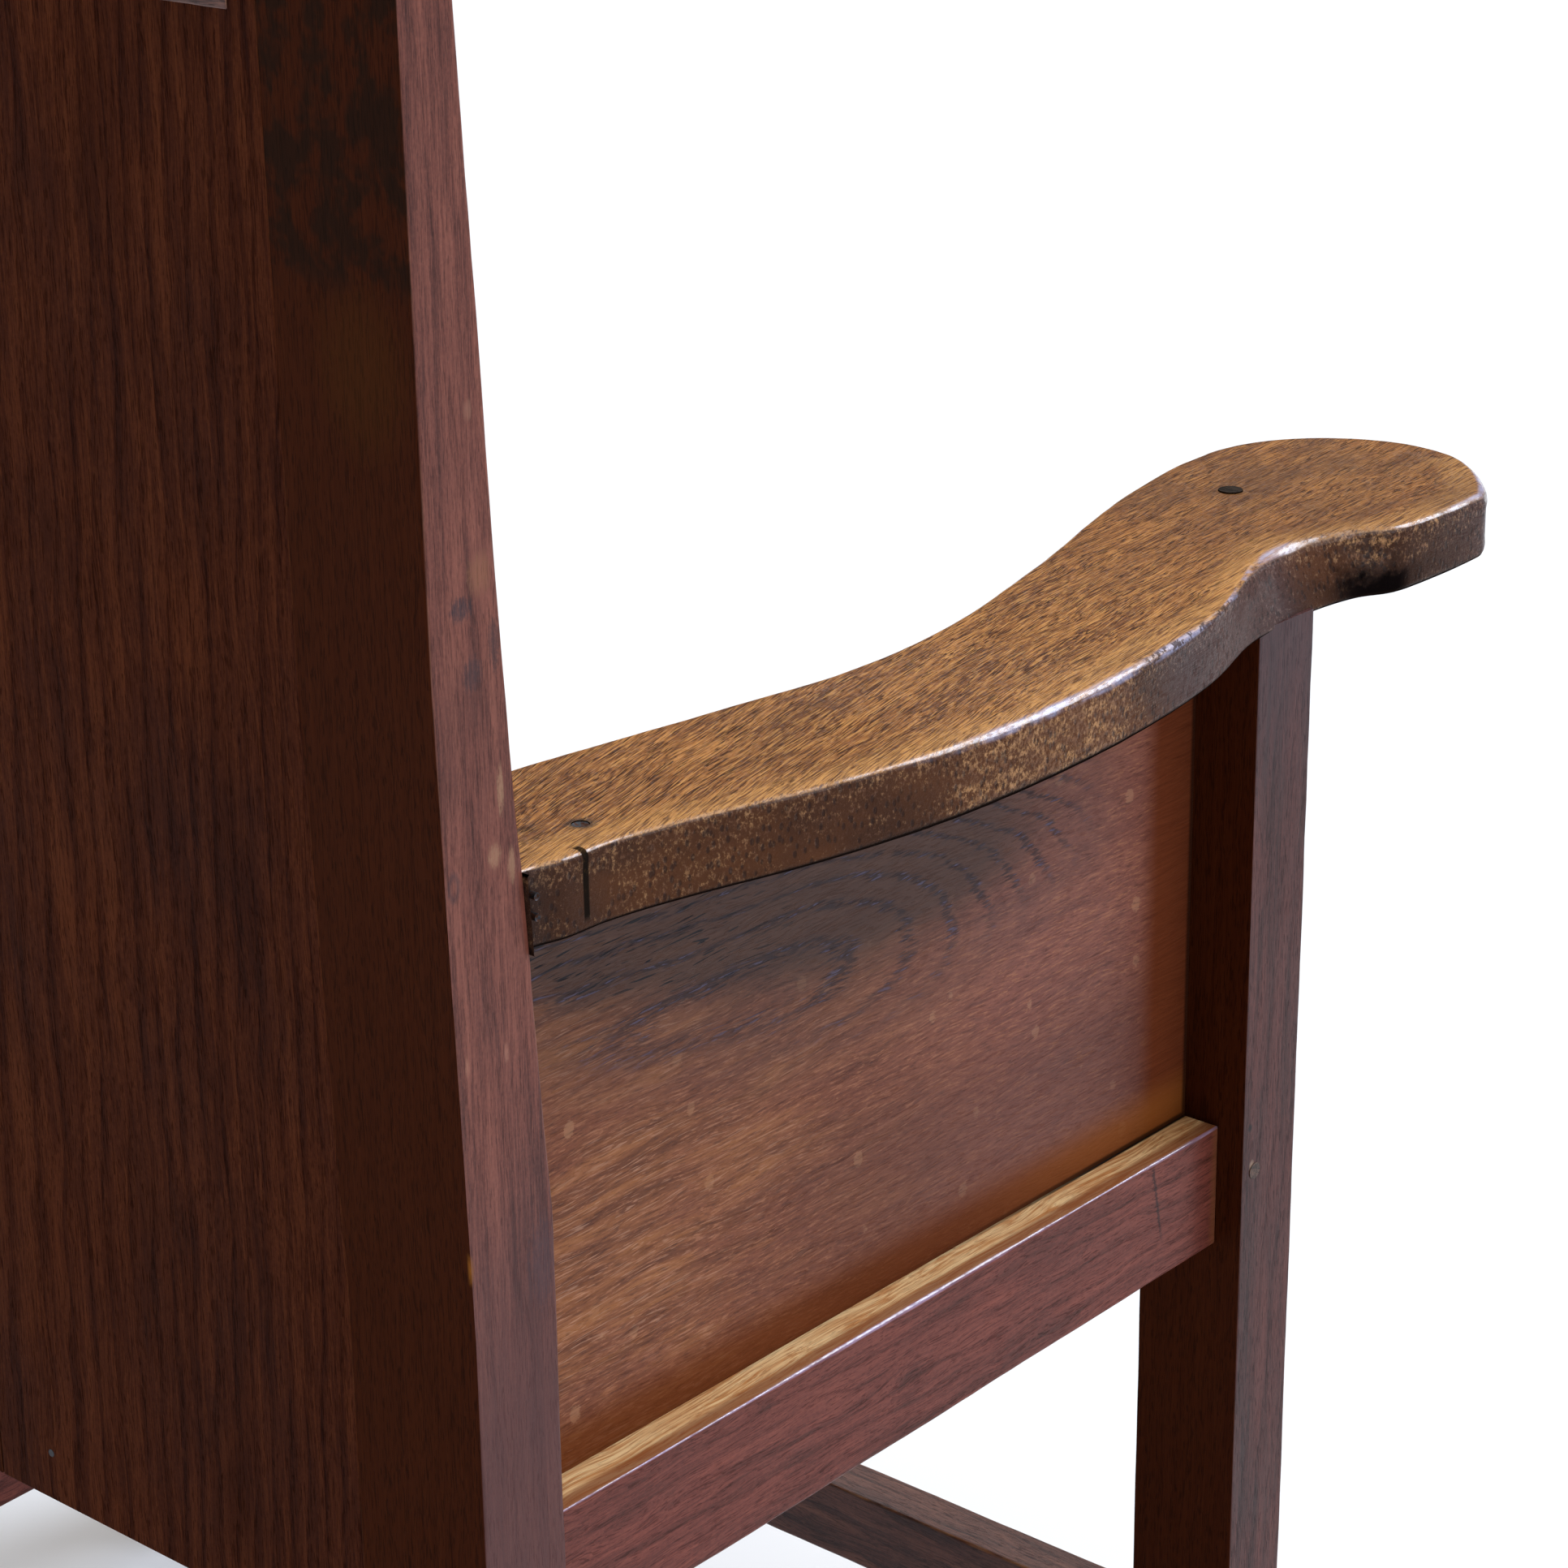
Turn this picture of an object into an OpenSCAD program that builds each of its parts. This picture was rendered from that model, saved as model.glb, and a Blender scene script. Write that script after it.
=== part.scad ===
// Joined oak armchair with boarded back, panelled sides and serpentine arms.
// The chair faces -Y. Z is up, the floor is z = 0, and the sitter's right hand is on the -X side.
// Side pieces are drawn on the +X side, the sitter's left, and mirrored for the right.

/* [Overall] */
// Width over the outer faces of the posts and stiles
frame_w = 700; // [640:5:740]
// Height to the top of the back
back_top = 1000; // [940:5:1100]
// Height of the arms' upper face
arm_top = 670; // [650:1:700]
// Height of the seat rails' upper edge
rail_top = 432; // [400:1:450]
// Clear distance between front post and rear stile at the seat
side_span = 394; // [360:1:430]

/* [Posts and stiles] */
// Front post, size from side to side
post_w = 50; // [46:1:56]
// Front post, size from front to back
post_d = 38; // [36:1:44]
// Rear stile, size from side to side
stile_w = 70; // [66:1:78]
// Rear stile, size from front to back below the seat
stile_d = 38; // [36:1:44]
// Distance that the top of the back leans behind the foot
back_lean = 8; // [4:1:12]
// Thickness of the stile at its top
stile_top_d = 20; // [19:1:26]

/* [Arms] */
// Thickness of the arm boards
arm_t = 28; // [24:1:34]
// Radius of the round end of the arm
paddle_r = 65; // [58:1:70]
// Distance from the post's rear face forward to the centre of the round end
paddle_fwd = 128; // [115:1:140]
// Distance from the post's outer face inward to the centre of the round end
paddle_in = 49; // [42:1:54]
// How far the round end is worn flat towards its outer front
paddle_wear = 4; // [0:0.5:5]
// Depth of the housing in the arm's underside that takes the post's head
housing = 3; // [2:0.5:4]

/* [Boards and panels] */
// Thickness of the side panels under the arms
panel_t = 10; // [8:0.5:12]
// Distance of the side panels behind the posts' outer face
panel_inset = 29; // [26:1:30]
// Thickness of the seat boards
seat_t = 16; // [14:1:20]
// Thickness of the back boards
back_t = 12; // [10:0.5:12]

/* [Rails and stretchers] */
// Height of the seat rails
rail_h = 54; // [50:1:60]
// Distance of the side rails behind the posts' outer face
rail_inset = 12; // [10:1:14]
// Thickness of the front and rear seat rails
cross_rail_t = 24; // [22:1:26]
// Height of the back's top rail
crest_h = 70; // [60:1:90]
// Height of the stretchers' section
stretcher_h = 38; // [34:1:44]
// Thickness of the stretchers
stretcher_t = 24; // [20:1:26]
// Underside of the side stretchers above the floor
side_stretcher_z = 70; // [60:1:90]
// Underside of the front and rear stretchers above the floor
cross_stretcher_z = 140; // [125:1:170]

/* [Fastenings] */
// Diameter of the draw-bore pegs
peg_d = 7; // [6:0.5:8]
// Diameter of the nails
nail_d = 3; // [2.5:0.5:4]
// Diameter of the wooden plug in each arm
plug_d = 10; // [8:1:12]

/* [Hidden] */
$fn = 48;

oak = "#5a2f20";
oak_light = "#8a5426";
iron = "#2b2826";

half_w = frame_w / 2;
arm_reach = paddle_fwd + paddle_r;
depth = arm_reach + side_span + stile_d + back_lean;
post_back = arm_reach - depth / 2;
post_front = post_back - post_d;
stile_front = post_back + side_span;
stile_back = stile_front + stile_d;
post_in = half_w - post_w;
stile_in = half_w - stile_w;

arm_under = arm_top - arm_t;
rail_under = rail_top - rail_h;
seat_top = rail_top + seat_t;

// The stile is upright to just above the seat, leans most past the arm, then stands nearly upright
lean_start = rail_top + 118;
lean_mid = arm_top + 70;

panel_out = half_w - panel_inset;
panel_in = panel_out - panel_t;
groove = 8;

rebate = 12;
back_edge = stile_in + rebate;
board_w = 2 * back_edge / 3;
tongue = 6;
tongue_t = 4;
boards_top = back_top - crest_h + rebate;

tenon_l = 20;
tenon_t = 10;
shoulder = 8;
cross_tenon_l = 24;
crest_tenon_l = 30;

nosing = 12;
seat_front = post_front - nosing;
seat_rear = stile_back - back_t;
seat_split_a = seat_front + (seat_rear - seat_front) / 3;
seat_split_b = seat_front + 2 * (seat_rear - seat_front) / 3;
bearer_t = 30;
bearer_h = 40;

// Smooth closed curve through a list of points (Catmull-Rom)
function curve_point(a, b, c, d, t) =
    0.5 * (2 * b + (c - a) * t + (2 * a - 5 * b + 4 * c - d) * t * t + (3 * b - a - 3 * c + d) * t * t * t);
function smooth_open(p, steps) = [
    for (i = [1 : len(p) - 3], k = [0 : steps - 1]) curve_point(p[i - 1], p[i], p[i + 1], p[i + 2], k / steps)];

// Round end of the arm; the angle a runs from straight ahead towards the outside
function paddle_edge(a) = [-paddle_in, paddle_fwd]
    + (paddle_r - paddle_wear * pow(max(0, cos(a - 48)), 6)) * [sin(a), cos(a)];

// Rear and front faces of the stile as y at a height z
function rear_y(z) = stile_back + lookup(z, [
    [0, 0], [lean_start - 30, 0], [lean_mid, 0.8 * back_lean], [back_top, back_lean]]);
function front_y(z) = stile_front + lookup(z, [
    [0, 0], [lean_start, 1], [lean_mid, 14], [back_top, stile_d + back_lean - stile_top_d]]);
function heights(z0, z1) = concat(
    [z0], [for (z = [lean_start - 30, lean_start, lean_mid]) if (z > z0 && z < z1) z], [z1]);
function reverse(p) = [for (i = [len(p) - 1 : -1 : 0]) p[i]];

// A (y, z) outline pulled along x from x0 to x1
module along_x(x0, x1, outline) {
    translate([x0, 0, 0])
        rotate([90, 0, 90])
            linear_extrude(x1 - x0)
                polygon(outline);
}

module block(from, to) {
    translate(from)
        cube(to - from);
}

module right_side() {
    mirror([1, 0, 0])
        children();
}

module both_sides() {
    children();
    right_side()
        children();
}

// Board that follows the stile's rear face, t thick
module back_slab(x0, x1, z0, z1, t) {
    hs = heights(z0, z1);
    along_x(x0, x1, concat([for (z = hs) [rear_y(z) - t, z]], reverse([for (z = hs) [rear_y(z), z]])));
}

// Arm outline in plan, as [x, y]: outward from the post's outer face and forward from its rear face
arm_outer = [[3, -470], [3, -425], [1, -378], [7, -340], [22, -285], [32, -230], [34, -175], [30, -120],
    [19, -60], [4, -14], [0, 12], [-1.5, 40], [2, 66], [11, 88]];
arm_inner = [[-112, 96], [-100, 40], [-75, -40], [-54, -120], [-48, -185], [-56, -250], [-70, -345],
    [-76, -425], [-78, -470]];
paddle_arc = [for (a = [74 : -5 : -96]) paddle_edge(a)];
arm_outline = concat(
    smooth_open(concat(arm_outer, [paddle_edge(74), paddle_edge(60)]), 5),
    paddle_arc,
    smooth_open(concat([paddle_edge(-86), paddle_edge(-96)], arm_inner), 5));

module arm_blank() {
    translate([half_w, post_back, arm_under])
        mirror([0, 1, 0])
            linear_extrude(arm_t)
                polygon(arm_outline);
}

module arm_tenon() {
    block([half_w - 48, stile_front - 10, arm_under + 7], [half_w - 16, rear_y(arm_top) - 12, arm_top - 7]);
}

module kerf() {
    block([half_w - 2, post_back + 376.5, arm_under + 8], [half_w + 10, post_back + 377.5, arm_top + 1]);
}

module plug() {
    translate([half_w - 73, post_back - 85, arm_top - 12])
        cylinder(h = 12, d = plug_d);
}

// Two skew nails in the arm's edge beside the stile and one upright nail ahead of them
module arm_nail_set() {
    for (drop = [9, 16])
        translate([half_w + 2, post_back + 398, arm_top - drop])
            rotate([0, 90, 125])
                cylinder(h = 30, d = nail_d);
    translate([half_w - 17, post_back + 360, arm_top - 20])
        cylinder(h = 20, d = nail_d + 1);
}

module stile_blank() {
    hs = heights(0, back_top);
    along_x(stile_in, half_w, concat([for (z = hs) [front_y(z), z]], reverse([for (z = hs) [rear_y(z), z]])));
}

module behind_stile_front() {
    hs = heights(arm_under - 40, arm_top + 40);
    along_x(0, half_w + 60, concat([for (z = hs) [front_y(z), z]],
        [[stile_back + 150, arm_top + 40], [stile_back + 150, arm_under - 40]]));
}

module side_panel() {
    hs = heights(rail_top - groove, arm_under + groove);
    along_x(panel_in, panel_out, concat([[post_back - groove, rail_top - groove]],
        [for (z = hs) [front_y(z) + groove, z]], [[post_back - groove, arm_under + groove]]));
}

// Head of the post, housed in the arm, and the tenon on it
module post_head() {
    block([post_in, post_front, arm_under - 1], [half_w, post_back, arm_under + housing]);
    block([half_w - 38, post_front + 9, arm_under], [half_w - 14, post_back - 9, arm_under + 16]);
}

// Rail or stretcher between post and stile, with a tenon at each end
module side_bar(x0, x1, z0, h) {
    block([x0, post_back, z0], [x1, stile_front, z0 + h]);
    mid = (x0 + x1) / 2;
    block([mid - tenon_t / 2, post_back - tenon_l, z0 + shoulder],
        [mid + tenon_t / 2, stile_front + tenon_l, z0 + h - shoulder - 4]);
}

// Rail or stretcher across the chair, with a tenon at each end
module cross_bar(x_in, tenon, y0, y1, tenon_y, z0, h) {
    block([-x_in, y0, z0], [x_in, y1, z0 + h]);
    block([-x_in - tenon, tenon_y, z0 + shoulder], [x_in + tenon, tenon_y + tenon_t, z0 + h - shoulder]);
}

front_rail_y = post_front + 2;
front_tenon_y = post_front + 4;
rear_rail_y = seat_rear - cross_rail_t;
rear_tenon_y = stile_back - back_t - tenon_t;

module side_rail_solid() side_bar(post_in, half_w - rail_inset, rail_under, rail_h);
module side_stretcher_solid() {
    x1 = half_w - rail_inset;
    side_bar(x1 - stretcher_t, x1, side_stretcher_z, stretcher_h);
}
module front_rail_solid() {
    cross_bar(post_in, cross_tenon_l, front_rail_y, front_rail_y + cross_rail_t, front_tenon_y,
        rail_under, rail_h);
}
module rear_rail_solid() {
    cross_bar(stile_in, cross_tenon_l, rear_rail_y, seat_rear, rear_tenon_y, rail_under, rail_h);
}
module front_stretcher_solid() {
    cross_bar(post_in, cross_tenon_l, front_rail_y, front_rail_y + stretcher_t, front_tenon_y,
        cross_stretcher_z, stretcher_h);
}
module rear_stretcher_solid() {
    cross_bar(stile_in, cross_tenon_l, rear_rail_y, rear_rail_y + stretcher_t, rear_tenon_y,
        cross_stretcher_z, stretcher_h);
}

crest_z = back_top - crest_h;
module crest_rail_solid() {
    difference() {
        back_slab(-stile_in, stile_in, crest_z, back_top, stile_top_d);
        back_slab(-stile_in - 1, stile_in + 1, crest_z - 1, boards_top, back_t);
    }
    crest_tenon_y = rear_y(boards_top) - 17;
    block([-stile_in - crest_tenon_l, crest_tenon_y, boards_top + 6],
        [stile_in + crest_tenon_l, crest_tenon_y + 8, back_top - 14]);
}

module bearer_solid() {
    y0 = front_rail_y + cross_rail_t;
    block([-bearer_t / 2, y0, rail_top - bearer_h], [bearer_t / 2, rear_rail_y, rail_top]);
    block([-tenon_t / 2, y0 - 12, rail_top - bearer_h + 6], [tenon_t / 2, rear_rail_y + 12, rail_top - 6]);
}

// Pegs, each on the centre line of the tenon that it locks
peg_set = 9;
module peg(from, turn, length) {
    translate(from)
        rotate(turn)
            cylinder(h = length, d = peg_d);
}
module side_pegs(z) {
    both_sides()
        for (y = [post_back - peg_set, stile_front + peg_set])
            peg([half_w, y, z], [0, -90, 0], 40);
}
module cross_pegs(z) {
    both_sides() {
        peg([post_in + peg_set + 3, post_front, z], [-90, 0, 0], 18);
        peg([back_edge + 5, stile_back, z], [90, 0, 0], 26);
    }
}
side_rail_peg_z = rail_under + rail_h / 2 + 7;
cross_rail_peg_z = rail_under + rail_h / 2;
module side_rail_peg_solids() side_pegs(side_rail_peg_z);
module cross_rail_peg_solids() cross_pegs(cross_rail_peg_z);
module stretcher_peg_solids() {
    side_pegs(side_stretcher_z + stretcher_h / 2 - 2);
    cross_pegs(cross_stretcher_z + stretcher_h / 2);
}
module back_rail_peg_solids() {
    both_sides()
        for (z = [boards_top + 12, back_top - 22])
            peg([stile_in + 12, rear_y(z), z], [90, 0, 0], 16);
}

seat_nail_y = [seat_front + 60, seat_split_a - 20, seat_split_a + 25, seat_split_b - 25,
    seat_split_b + 25, stile_front - 25];
module seat_nail_solids() {
    both_sides()
        for (y = seat_nail_y)
            translate([panel_in - 5.5, y, rail_top - 22])
                cylinder(h = seat_t + 22, d = nail_d);
}

module back_nail_solids() {
    for (i = [-1 : 1], side = [-1, 1]) {
        x = i * board_w + side * (board_w / 2 - 30);
        for (z = [rail_under + 20, crest_z + rebate / 2])
            translate([x, rear_y(z), z])
                rotate([90, 0, 0])
                    cylinder(h = z < rail_top ? 28 : 18, d = nail_d);
    }
}

// Finished pieces, with the mortises, grooves and holes that their neighbours need

module front_post_solid() {
    difference() {
        union() {
            block([post_in, post_front, 0], [half_w, post_back, arm_under]);
            post_head();
        }
        side_rail_solid();
        side_stretcher_solid();
        front_rail_solid();
        front_stretcher_solid();
        side_panel();
        side_rail_peg_solids();
        cross_rail_peg_solids();
        stretcher_peg_solids();
    }
}

module rear_stile_solid() {
    difference() {
        stile_blank();
        back_slab(stile_in - 1, back_edge, rail_under, boards_top, back_t);
        side_rail_solid();
        side_stretcher_solid();
        rear_rail_solid();
        rear_stretcher_solid();
        crest_rail_solid();
        side_panel();
        arm_tenon();
        arm_nail_set();
        side_rail_peg_solids();
        cross_rail_peg_solids();
        stretcher_peg_solids();
        back_rail_peg_solids();
    }
}

module arm_solid() {
    difference() {
        union() {
            difference() {
                arm_blank();
                behind_stile_front();
            }
            intersection() {
                arm_tenon();
                arm_blank();
            }
        }
        post_head();
        side_panel();
        kerf();
        plug();
        arm_nail_set();
    }
}

module side_rail_finished() {
    difference() {
        side_rail_solid();
        side_panel();
        side_rail_peg_solids();
        seat_nail_solids();
    }
}

module side_stretcher_finished() {
    difference() {
        side_stretcher_solid();
        stretcher_peg_solids();
    }
}

module seat_board(y0, y1) {
    difference() {
        intersection() {
            block([-panel_in, y0, rail_top], [panel_in, y1, seat_top]);
            union() {
                block([-panel_in, post_back, rail_top], [panel_in, stile_front, seat_top]);
                block([-post_in, seat_front, rail_top], [post_in, post_back + 1, seat_top]);
                block([-stile_in, stile_front - 1, rail_top], [stile_in, seat_rear, seat_top]);
            }
        }
        seat_nail_solids();
    }
}

module board_tongue(x, grow) {
    mid = back_t / 2;
    hs = heights(rail_under, boards_top);
    along_x(x - grow, x + grow, concat([for (z = hs) [rear_y(z) - mid - tongue_t / 2, z]],
        reverse([for (z = hs) [rear_y(z) - mid + tongue_t / 2, z]])));
}

module outer_back_board() {
    difference() {
        back_slab(board_w / 2, back_edge, rail_under, boards_top, back_t);
        board_tongue(board_w / 2, tongue);
        back_nail_solids();
    }
}

module front_post_left() color(oak) front_post_solid();
module front_post_right() color(oak) right_side() front_post_solid();
module rear_stile_left() color(oak) rear_stile_solid();
module rear_stile_right() color(oak) right_side() rear_stile_solid();
module arm_left() color(oak_light) arm_solid();
module arm_right() color(oak_light) right_side() arm_solid();
module arm_panel_left() color(oak) side_panel();
module arm_panel_right() color(oak) right_side() side_panel();
module side_seat_rail_left() color(oak) side_rail_finished();
module side_seat_rail_right() color(oak) right_side() side_rail_finished();

module front_seat_rail() {
    color(oak)
        difference() {
            front_rail_solid();
            bearer_solid();
            cross_rail_peg_solids();
        }
}

module rear_seat_rail() {
    color(oak)
        difference() {
            rear_rail_solid();
            bearer_solid();
            cross_rail_peg_solids();
            back_nail_solids();
        }
}

module seat_bearer() color(oak) bearer_solid();
module seat_board_front() color(oak_light) seat_board(seat_front, seat_split_a);
module seat_board_middle() color(oak_light) seat_board(seat_split_a, seat_split_b);
module seat_board_rear() color(oak_light) seat_board(seat_split_b, seat_rear);

module back_top_rail() {
    color(oak)
        difference() {
            crest_rail_solid();
            back_rail_peg_solids();
            back_nail_solids();
        }
}

module back_board_left() color(oak) outer_back_board();
module back_board_right() color(oak) right_side() outer_back_board();

module back_board_middle() {
    color(oak)
        difference() {
            union() {
                back_slab(-board_w / 2, board_w / 2, rail_under, boards_top, back_t);
                for (side = [-1, 1])
                    board_tongue(side * board_w / 2, tongue);
            }
            back_nail_solids();
        }
}

module side_stretcher_left() color(oak) side_stretcher_finished();
module side_stretcher_right() color(oak) right_side() side_stretcher_finished();

module front_stretcher() {
    color(oak)
        difference() {
            front_stretcher_solid();
            stretcher_peg_solids();
        }
}

module rear_stretcher() {
    color(oak)
        difference() {
            rear_stretcher_solid();
            stretcher_peg_solids();
        }
}

module side_rail_pegs() color(oak_light) side_rail_peg_solids();
module cross_rail_pegs() color(oak_light) cross_rail_peg_solids();
module stretcher_pegs() color(oak_light) stretcher_peg_solids();
module back_rail_pegs() color(oak_light) back_rail_peg_solids();
module arm_plugs() color(oak) both_sides() plug();
module arm_nails() color(iron) both_sides() arm_nail_set();
module seat_nails() color(iron) seat_nail_solids();
module back_nails() color(iron) back_nail_solids();

front_post_left();
front_post_right();
rear_stile_left();
rear_stile_right();
arm_left();
arm_right();
arm_panel_left();
arm_panel_right();
side_seat_rail_left();
side_seat_rail_right();
front_seat_rail();
rear_seat_rail();
seat_bearer();
seat_board_front();
seat_board_middle();
seat_board_rear();
back_top_rail();
back_board_left();
back_board_middle();
back_board_right();
side_stretcher_left();
side_stretcher_right();
front_stretcher();
rear_stretcher();
side_rail_pegs();
cross_rail_pegs();
stretcher_pegs();
back_rail_pegs();
arm_plugs();
arm_nails();
seat_nails();
back_nails();
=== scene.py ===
"""Looks of the joined oak armchair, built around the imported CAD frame. Metres, +Z up, the chair faces -Y."""
import math
from types import SimpleNamespace

import bmesh
import bpy
from mathutils import Matrix, Vector, noise
from mathutils.geometry import delaunay_2d_cdt


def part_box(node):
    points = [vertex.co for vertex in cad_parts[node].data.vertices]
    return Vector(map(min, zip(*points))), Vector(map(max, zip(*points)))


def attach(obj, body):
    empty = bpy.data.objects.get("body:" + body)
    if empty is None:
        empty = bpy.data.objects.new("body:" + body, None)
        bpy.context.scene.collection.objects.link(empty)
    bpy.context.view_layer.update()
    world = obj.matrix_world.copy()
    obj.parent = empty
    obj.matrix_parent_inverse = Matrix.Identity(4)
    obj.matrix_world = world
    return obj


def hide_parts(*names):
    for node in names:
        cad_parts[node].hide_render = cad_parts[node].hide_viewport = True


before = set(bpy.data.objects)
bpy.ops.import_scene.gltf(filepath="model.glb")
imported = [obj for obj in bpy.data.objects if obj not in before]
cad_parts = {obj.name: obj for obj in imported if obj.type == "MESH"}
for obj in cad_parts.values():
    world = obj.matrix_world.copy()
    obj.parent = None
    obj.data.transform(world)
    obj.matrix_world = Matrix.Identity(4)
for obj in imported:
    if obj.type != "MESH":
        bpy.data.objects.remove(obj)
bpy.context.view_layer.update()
MM = 0.001
ROOT = "root"
TONGUE = 0.003      # thickness of a board's tongue
STEP = 0.0001       # half the length over which a notched board changes its section
FAR = 9.0           # beyond anything on the chair
ARM_SPACING = 0.0025    # between the points of an arm's outline
ARM_DIP = 0.0002    # how far the arm's worn top lies below the sawn one


# -------- helpers


def smooth01(a, b, x):
    """0 below a, 1 above b, and an even S between them."""
    t = min(1.0, max(0.0, (x - a) / (b - a)))
    return t * t * (3 - 2 * t)


def wander(seed, *place):
    """Slow, repeatable noise from -1 to 1 at a place given in metres times its frequency."""
    p = list(place) + [0.0] * (3 - len(place))
    return noise.noise(Vector((p[0] + 17.3 * seed, p[1] - 5.1 * seed, p[2] + 2.7 * seed)))


def as_mesh(name, bm):
    mesh = bpy.data.meshes.new(name)
    bm.to_mesh(mesh)
    bm.free()
    return mesh


def placed(name, data):
    made = bpy.data.objects.new(name, data)
    bpy.context.scene.collection.objects.link(made)
    return made


def new_piece(name, bm, material, node, smooth=True):
    """Turns a bmesh into a piece that rides on the chair and stands for its CAD node."""
    bmesh.ops.recalc_face_normals(bm, faces=bm.faces)
    mesh = as_mesh(name, bm)
    mesh.polygons.foreach_set("use_smooth", [smooth] * len(mesh.polygons))
    if smooth:
        mesh.set_sharp_from_angle(angle=math.radians(40))
    piece = placed(name, mesh)
    mesh.materials.append(material)
    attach(piece, ROOT)
    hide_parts(node)
    return piece


def weigh_normals(piece):
    """Keeps the broad faces flat in shading, with the turn of the light on the worn arrises only."""
    mod = piece.modifiers.new("flat faces", "WEIGHTED_NORMAL")
    mod.mode = "FACE_AREA"
    mod.weight = 90


def islands(node):
    """Lowest and highest corner of each separate solid in a CAD node that groups several."""
    bm = bmesh.new()
    bm.from_mesh(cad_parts[node].data)
    bmesh.ops.remove_doubles(bm, verts=bm.verts, dist=1e-6)
    found = []
    left = set(bm.verts)
    while left:
        stack = [left.pop()]
        group = list(stack)
        while stack:
            for edge in stack.pop().link_edges:
                for v in edge.verts:
                    if v in left:
                        left.remove(v)
                        stack.append(v)
                        group.append(v)
        low = Vector([min(v.co[i] for v in group) for i in range(3)])
        high = Vector([max(v.co[i] for v in group) for i in range(3)])
        found.append((low, high))
    bm.free()
    return sorted(found, key=lambda b: tuple(round(c, 5) for c in b[0]))


def board(name, node, axis, section, span, radius, seed, material, wobble=0.3, step=0.008, corner_steps=4,
        end_r=0.0012, tight=None, skin=0.0003, tongues=(), breaks=()):
    """A sawn board: a rectangle swept along an axis, its four arrises rounded and unevenly worn.

    section, or section(t) where it changes, gives (a0, a1, b0, b1) in the two other axes; radius is one
    size or four, in the order (a0,b0), (a1,b0), (a1,b1), (a0,b1). Over the span
    called tight the arrises stay sharp, for a joint.
    The faces stay skin below the sawn size, so that pegs and nails end just proud of them.
    The section may change at once at each of breaks, for a notch.
    Each of tongues gives (a0, a1) of a strip along the middle of the thickness that enters the next board.
    """
    a_axis, b_axis = [i for i in range(3) if i != axis]
    radii = radius if isinstance(radius, (list, tuple)) else [radius] * 4
    t0, t1 = span
    count = max(2, round((t1 - t0) / step))
    turns = [k * math.pi / 6 for k in range(3)]
    ends = [(end_r * (1 - math.cos(turn)), end_r * (1 - math.sin(turn))) for turn in turns]
    stations = [(t0 + along, inset) for along, inset in ends]
    stations += [(t0 + end_r + (t1 - t0 - 2 * end_r) * k / count, 0.0) for k in range(count + 1)]
    stations += [(t1 - along, inset) for along, inset in reversed(ends)]
    stations = sorted(stations + [(t + shift, 0.0) for t in breaks for shift in (-STEP, STEP)])
    bm = bmesh.new()
    rings = []

    def section_at(t):
        return section(t) if callable(section) else section

    def vert(t, pa, pb):
        co = [0.0, 0.0, 0.0]
        co[axis], co[a_axis], co[b_axis] = t, pa, pb
        return bm.verts.new(co)

    for t, inset in stations:
        a0, a1, b0, b1 = section_at(t)
        sway_a = wobble * MM * wander(seed, 6 * t, 1.5)
        sway_b = wobble * MM * wander(seed + 9, 6 * t, 7.5)
        corners = [(a0, b0, 1, 1, 180), (a1, b0, -1, 1, 270), (a1, b1, -1, -1, 0), (a0, b1, 1, -1, 90)]
        ring = []
        for c, (a, b, da, db, start) in enumerate(corners):
            wear = 1 + 0.45 * wander(seed + c, 14 * t, 3.1 * c)
            wear += 0.25 * wander(seed + c, 60 * t, 1.7 * c)
            if tight:
                wear *= 1 - 0.85 * smooth01(0.012, 0.003, max(tight[0] - t, t - tight[1]))
            r = max(0.2 * MM, radii[c] * wear)
            ca, cb = a + da * r, b + db * r
            for k in range(corner_steps + 1):
                ang = math.radians(start + 90 * k / corner_steps)
                pa = ca + r * math.cos(ang) + sway_a * (1 if da < 0 else 0.6)
                pb = cb + r * math.sin(ang) + sway_b * (1 if db < 0 else 0.6)
                pa = min(max(pa, a0 + max(inset, skin)), a1 - max(inset, skin))
                pb = min(max(pb, b0 + max(inset, skin)), b1 - max(inset, skin))
                ring.append(vert(t, pa, pb))
        rings.append(ring)
    for low, high in zip(rings, rings[1:]):
        for k in range(len(low)):
            n = (k + 1) % len(low)
            bm.faces.new((low[k], low[n], high[n], high[k]))
    bm.faces.new(rings[0])
    bm.faces.new(rings[-1])
    for a0, a1 in tongues:
        strip = []
        for t, inset in stations[2:-2]:
            middle = sum(section_at(t)[2:]) / 2
            low, high = middle - TONGUE / 2, middle + TONGUE / 2
            strip.append([vert(t, a0, low), vert(t, a1, low), vert(t, a1, high), vert(t, a0, high)])
        for low, high in zip(strip, strip[1:]):
            for k in range(4):
                bm.faces.new((low[k], low[(k + 1) % 4], high[(k + 1) % 4], high[k]))
        bm.faces.new(strip[0])
        bm.faces.new(strip[-1])
    weigh_normals(new_piece(name, bm, material, node))


def box(node):
    low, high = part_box(node)
    return Vector(low), Vector(high)


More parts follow.
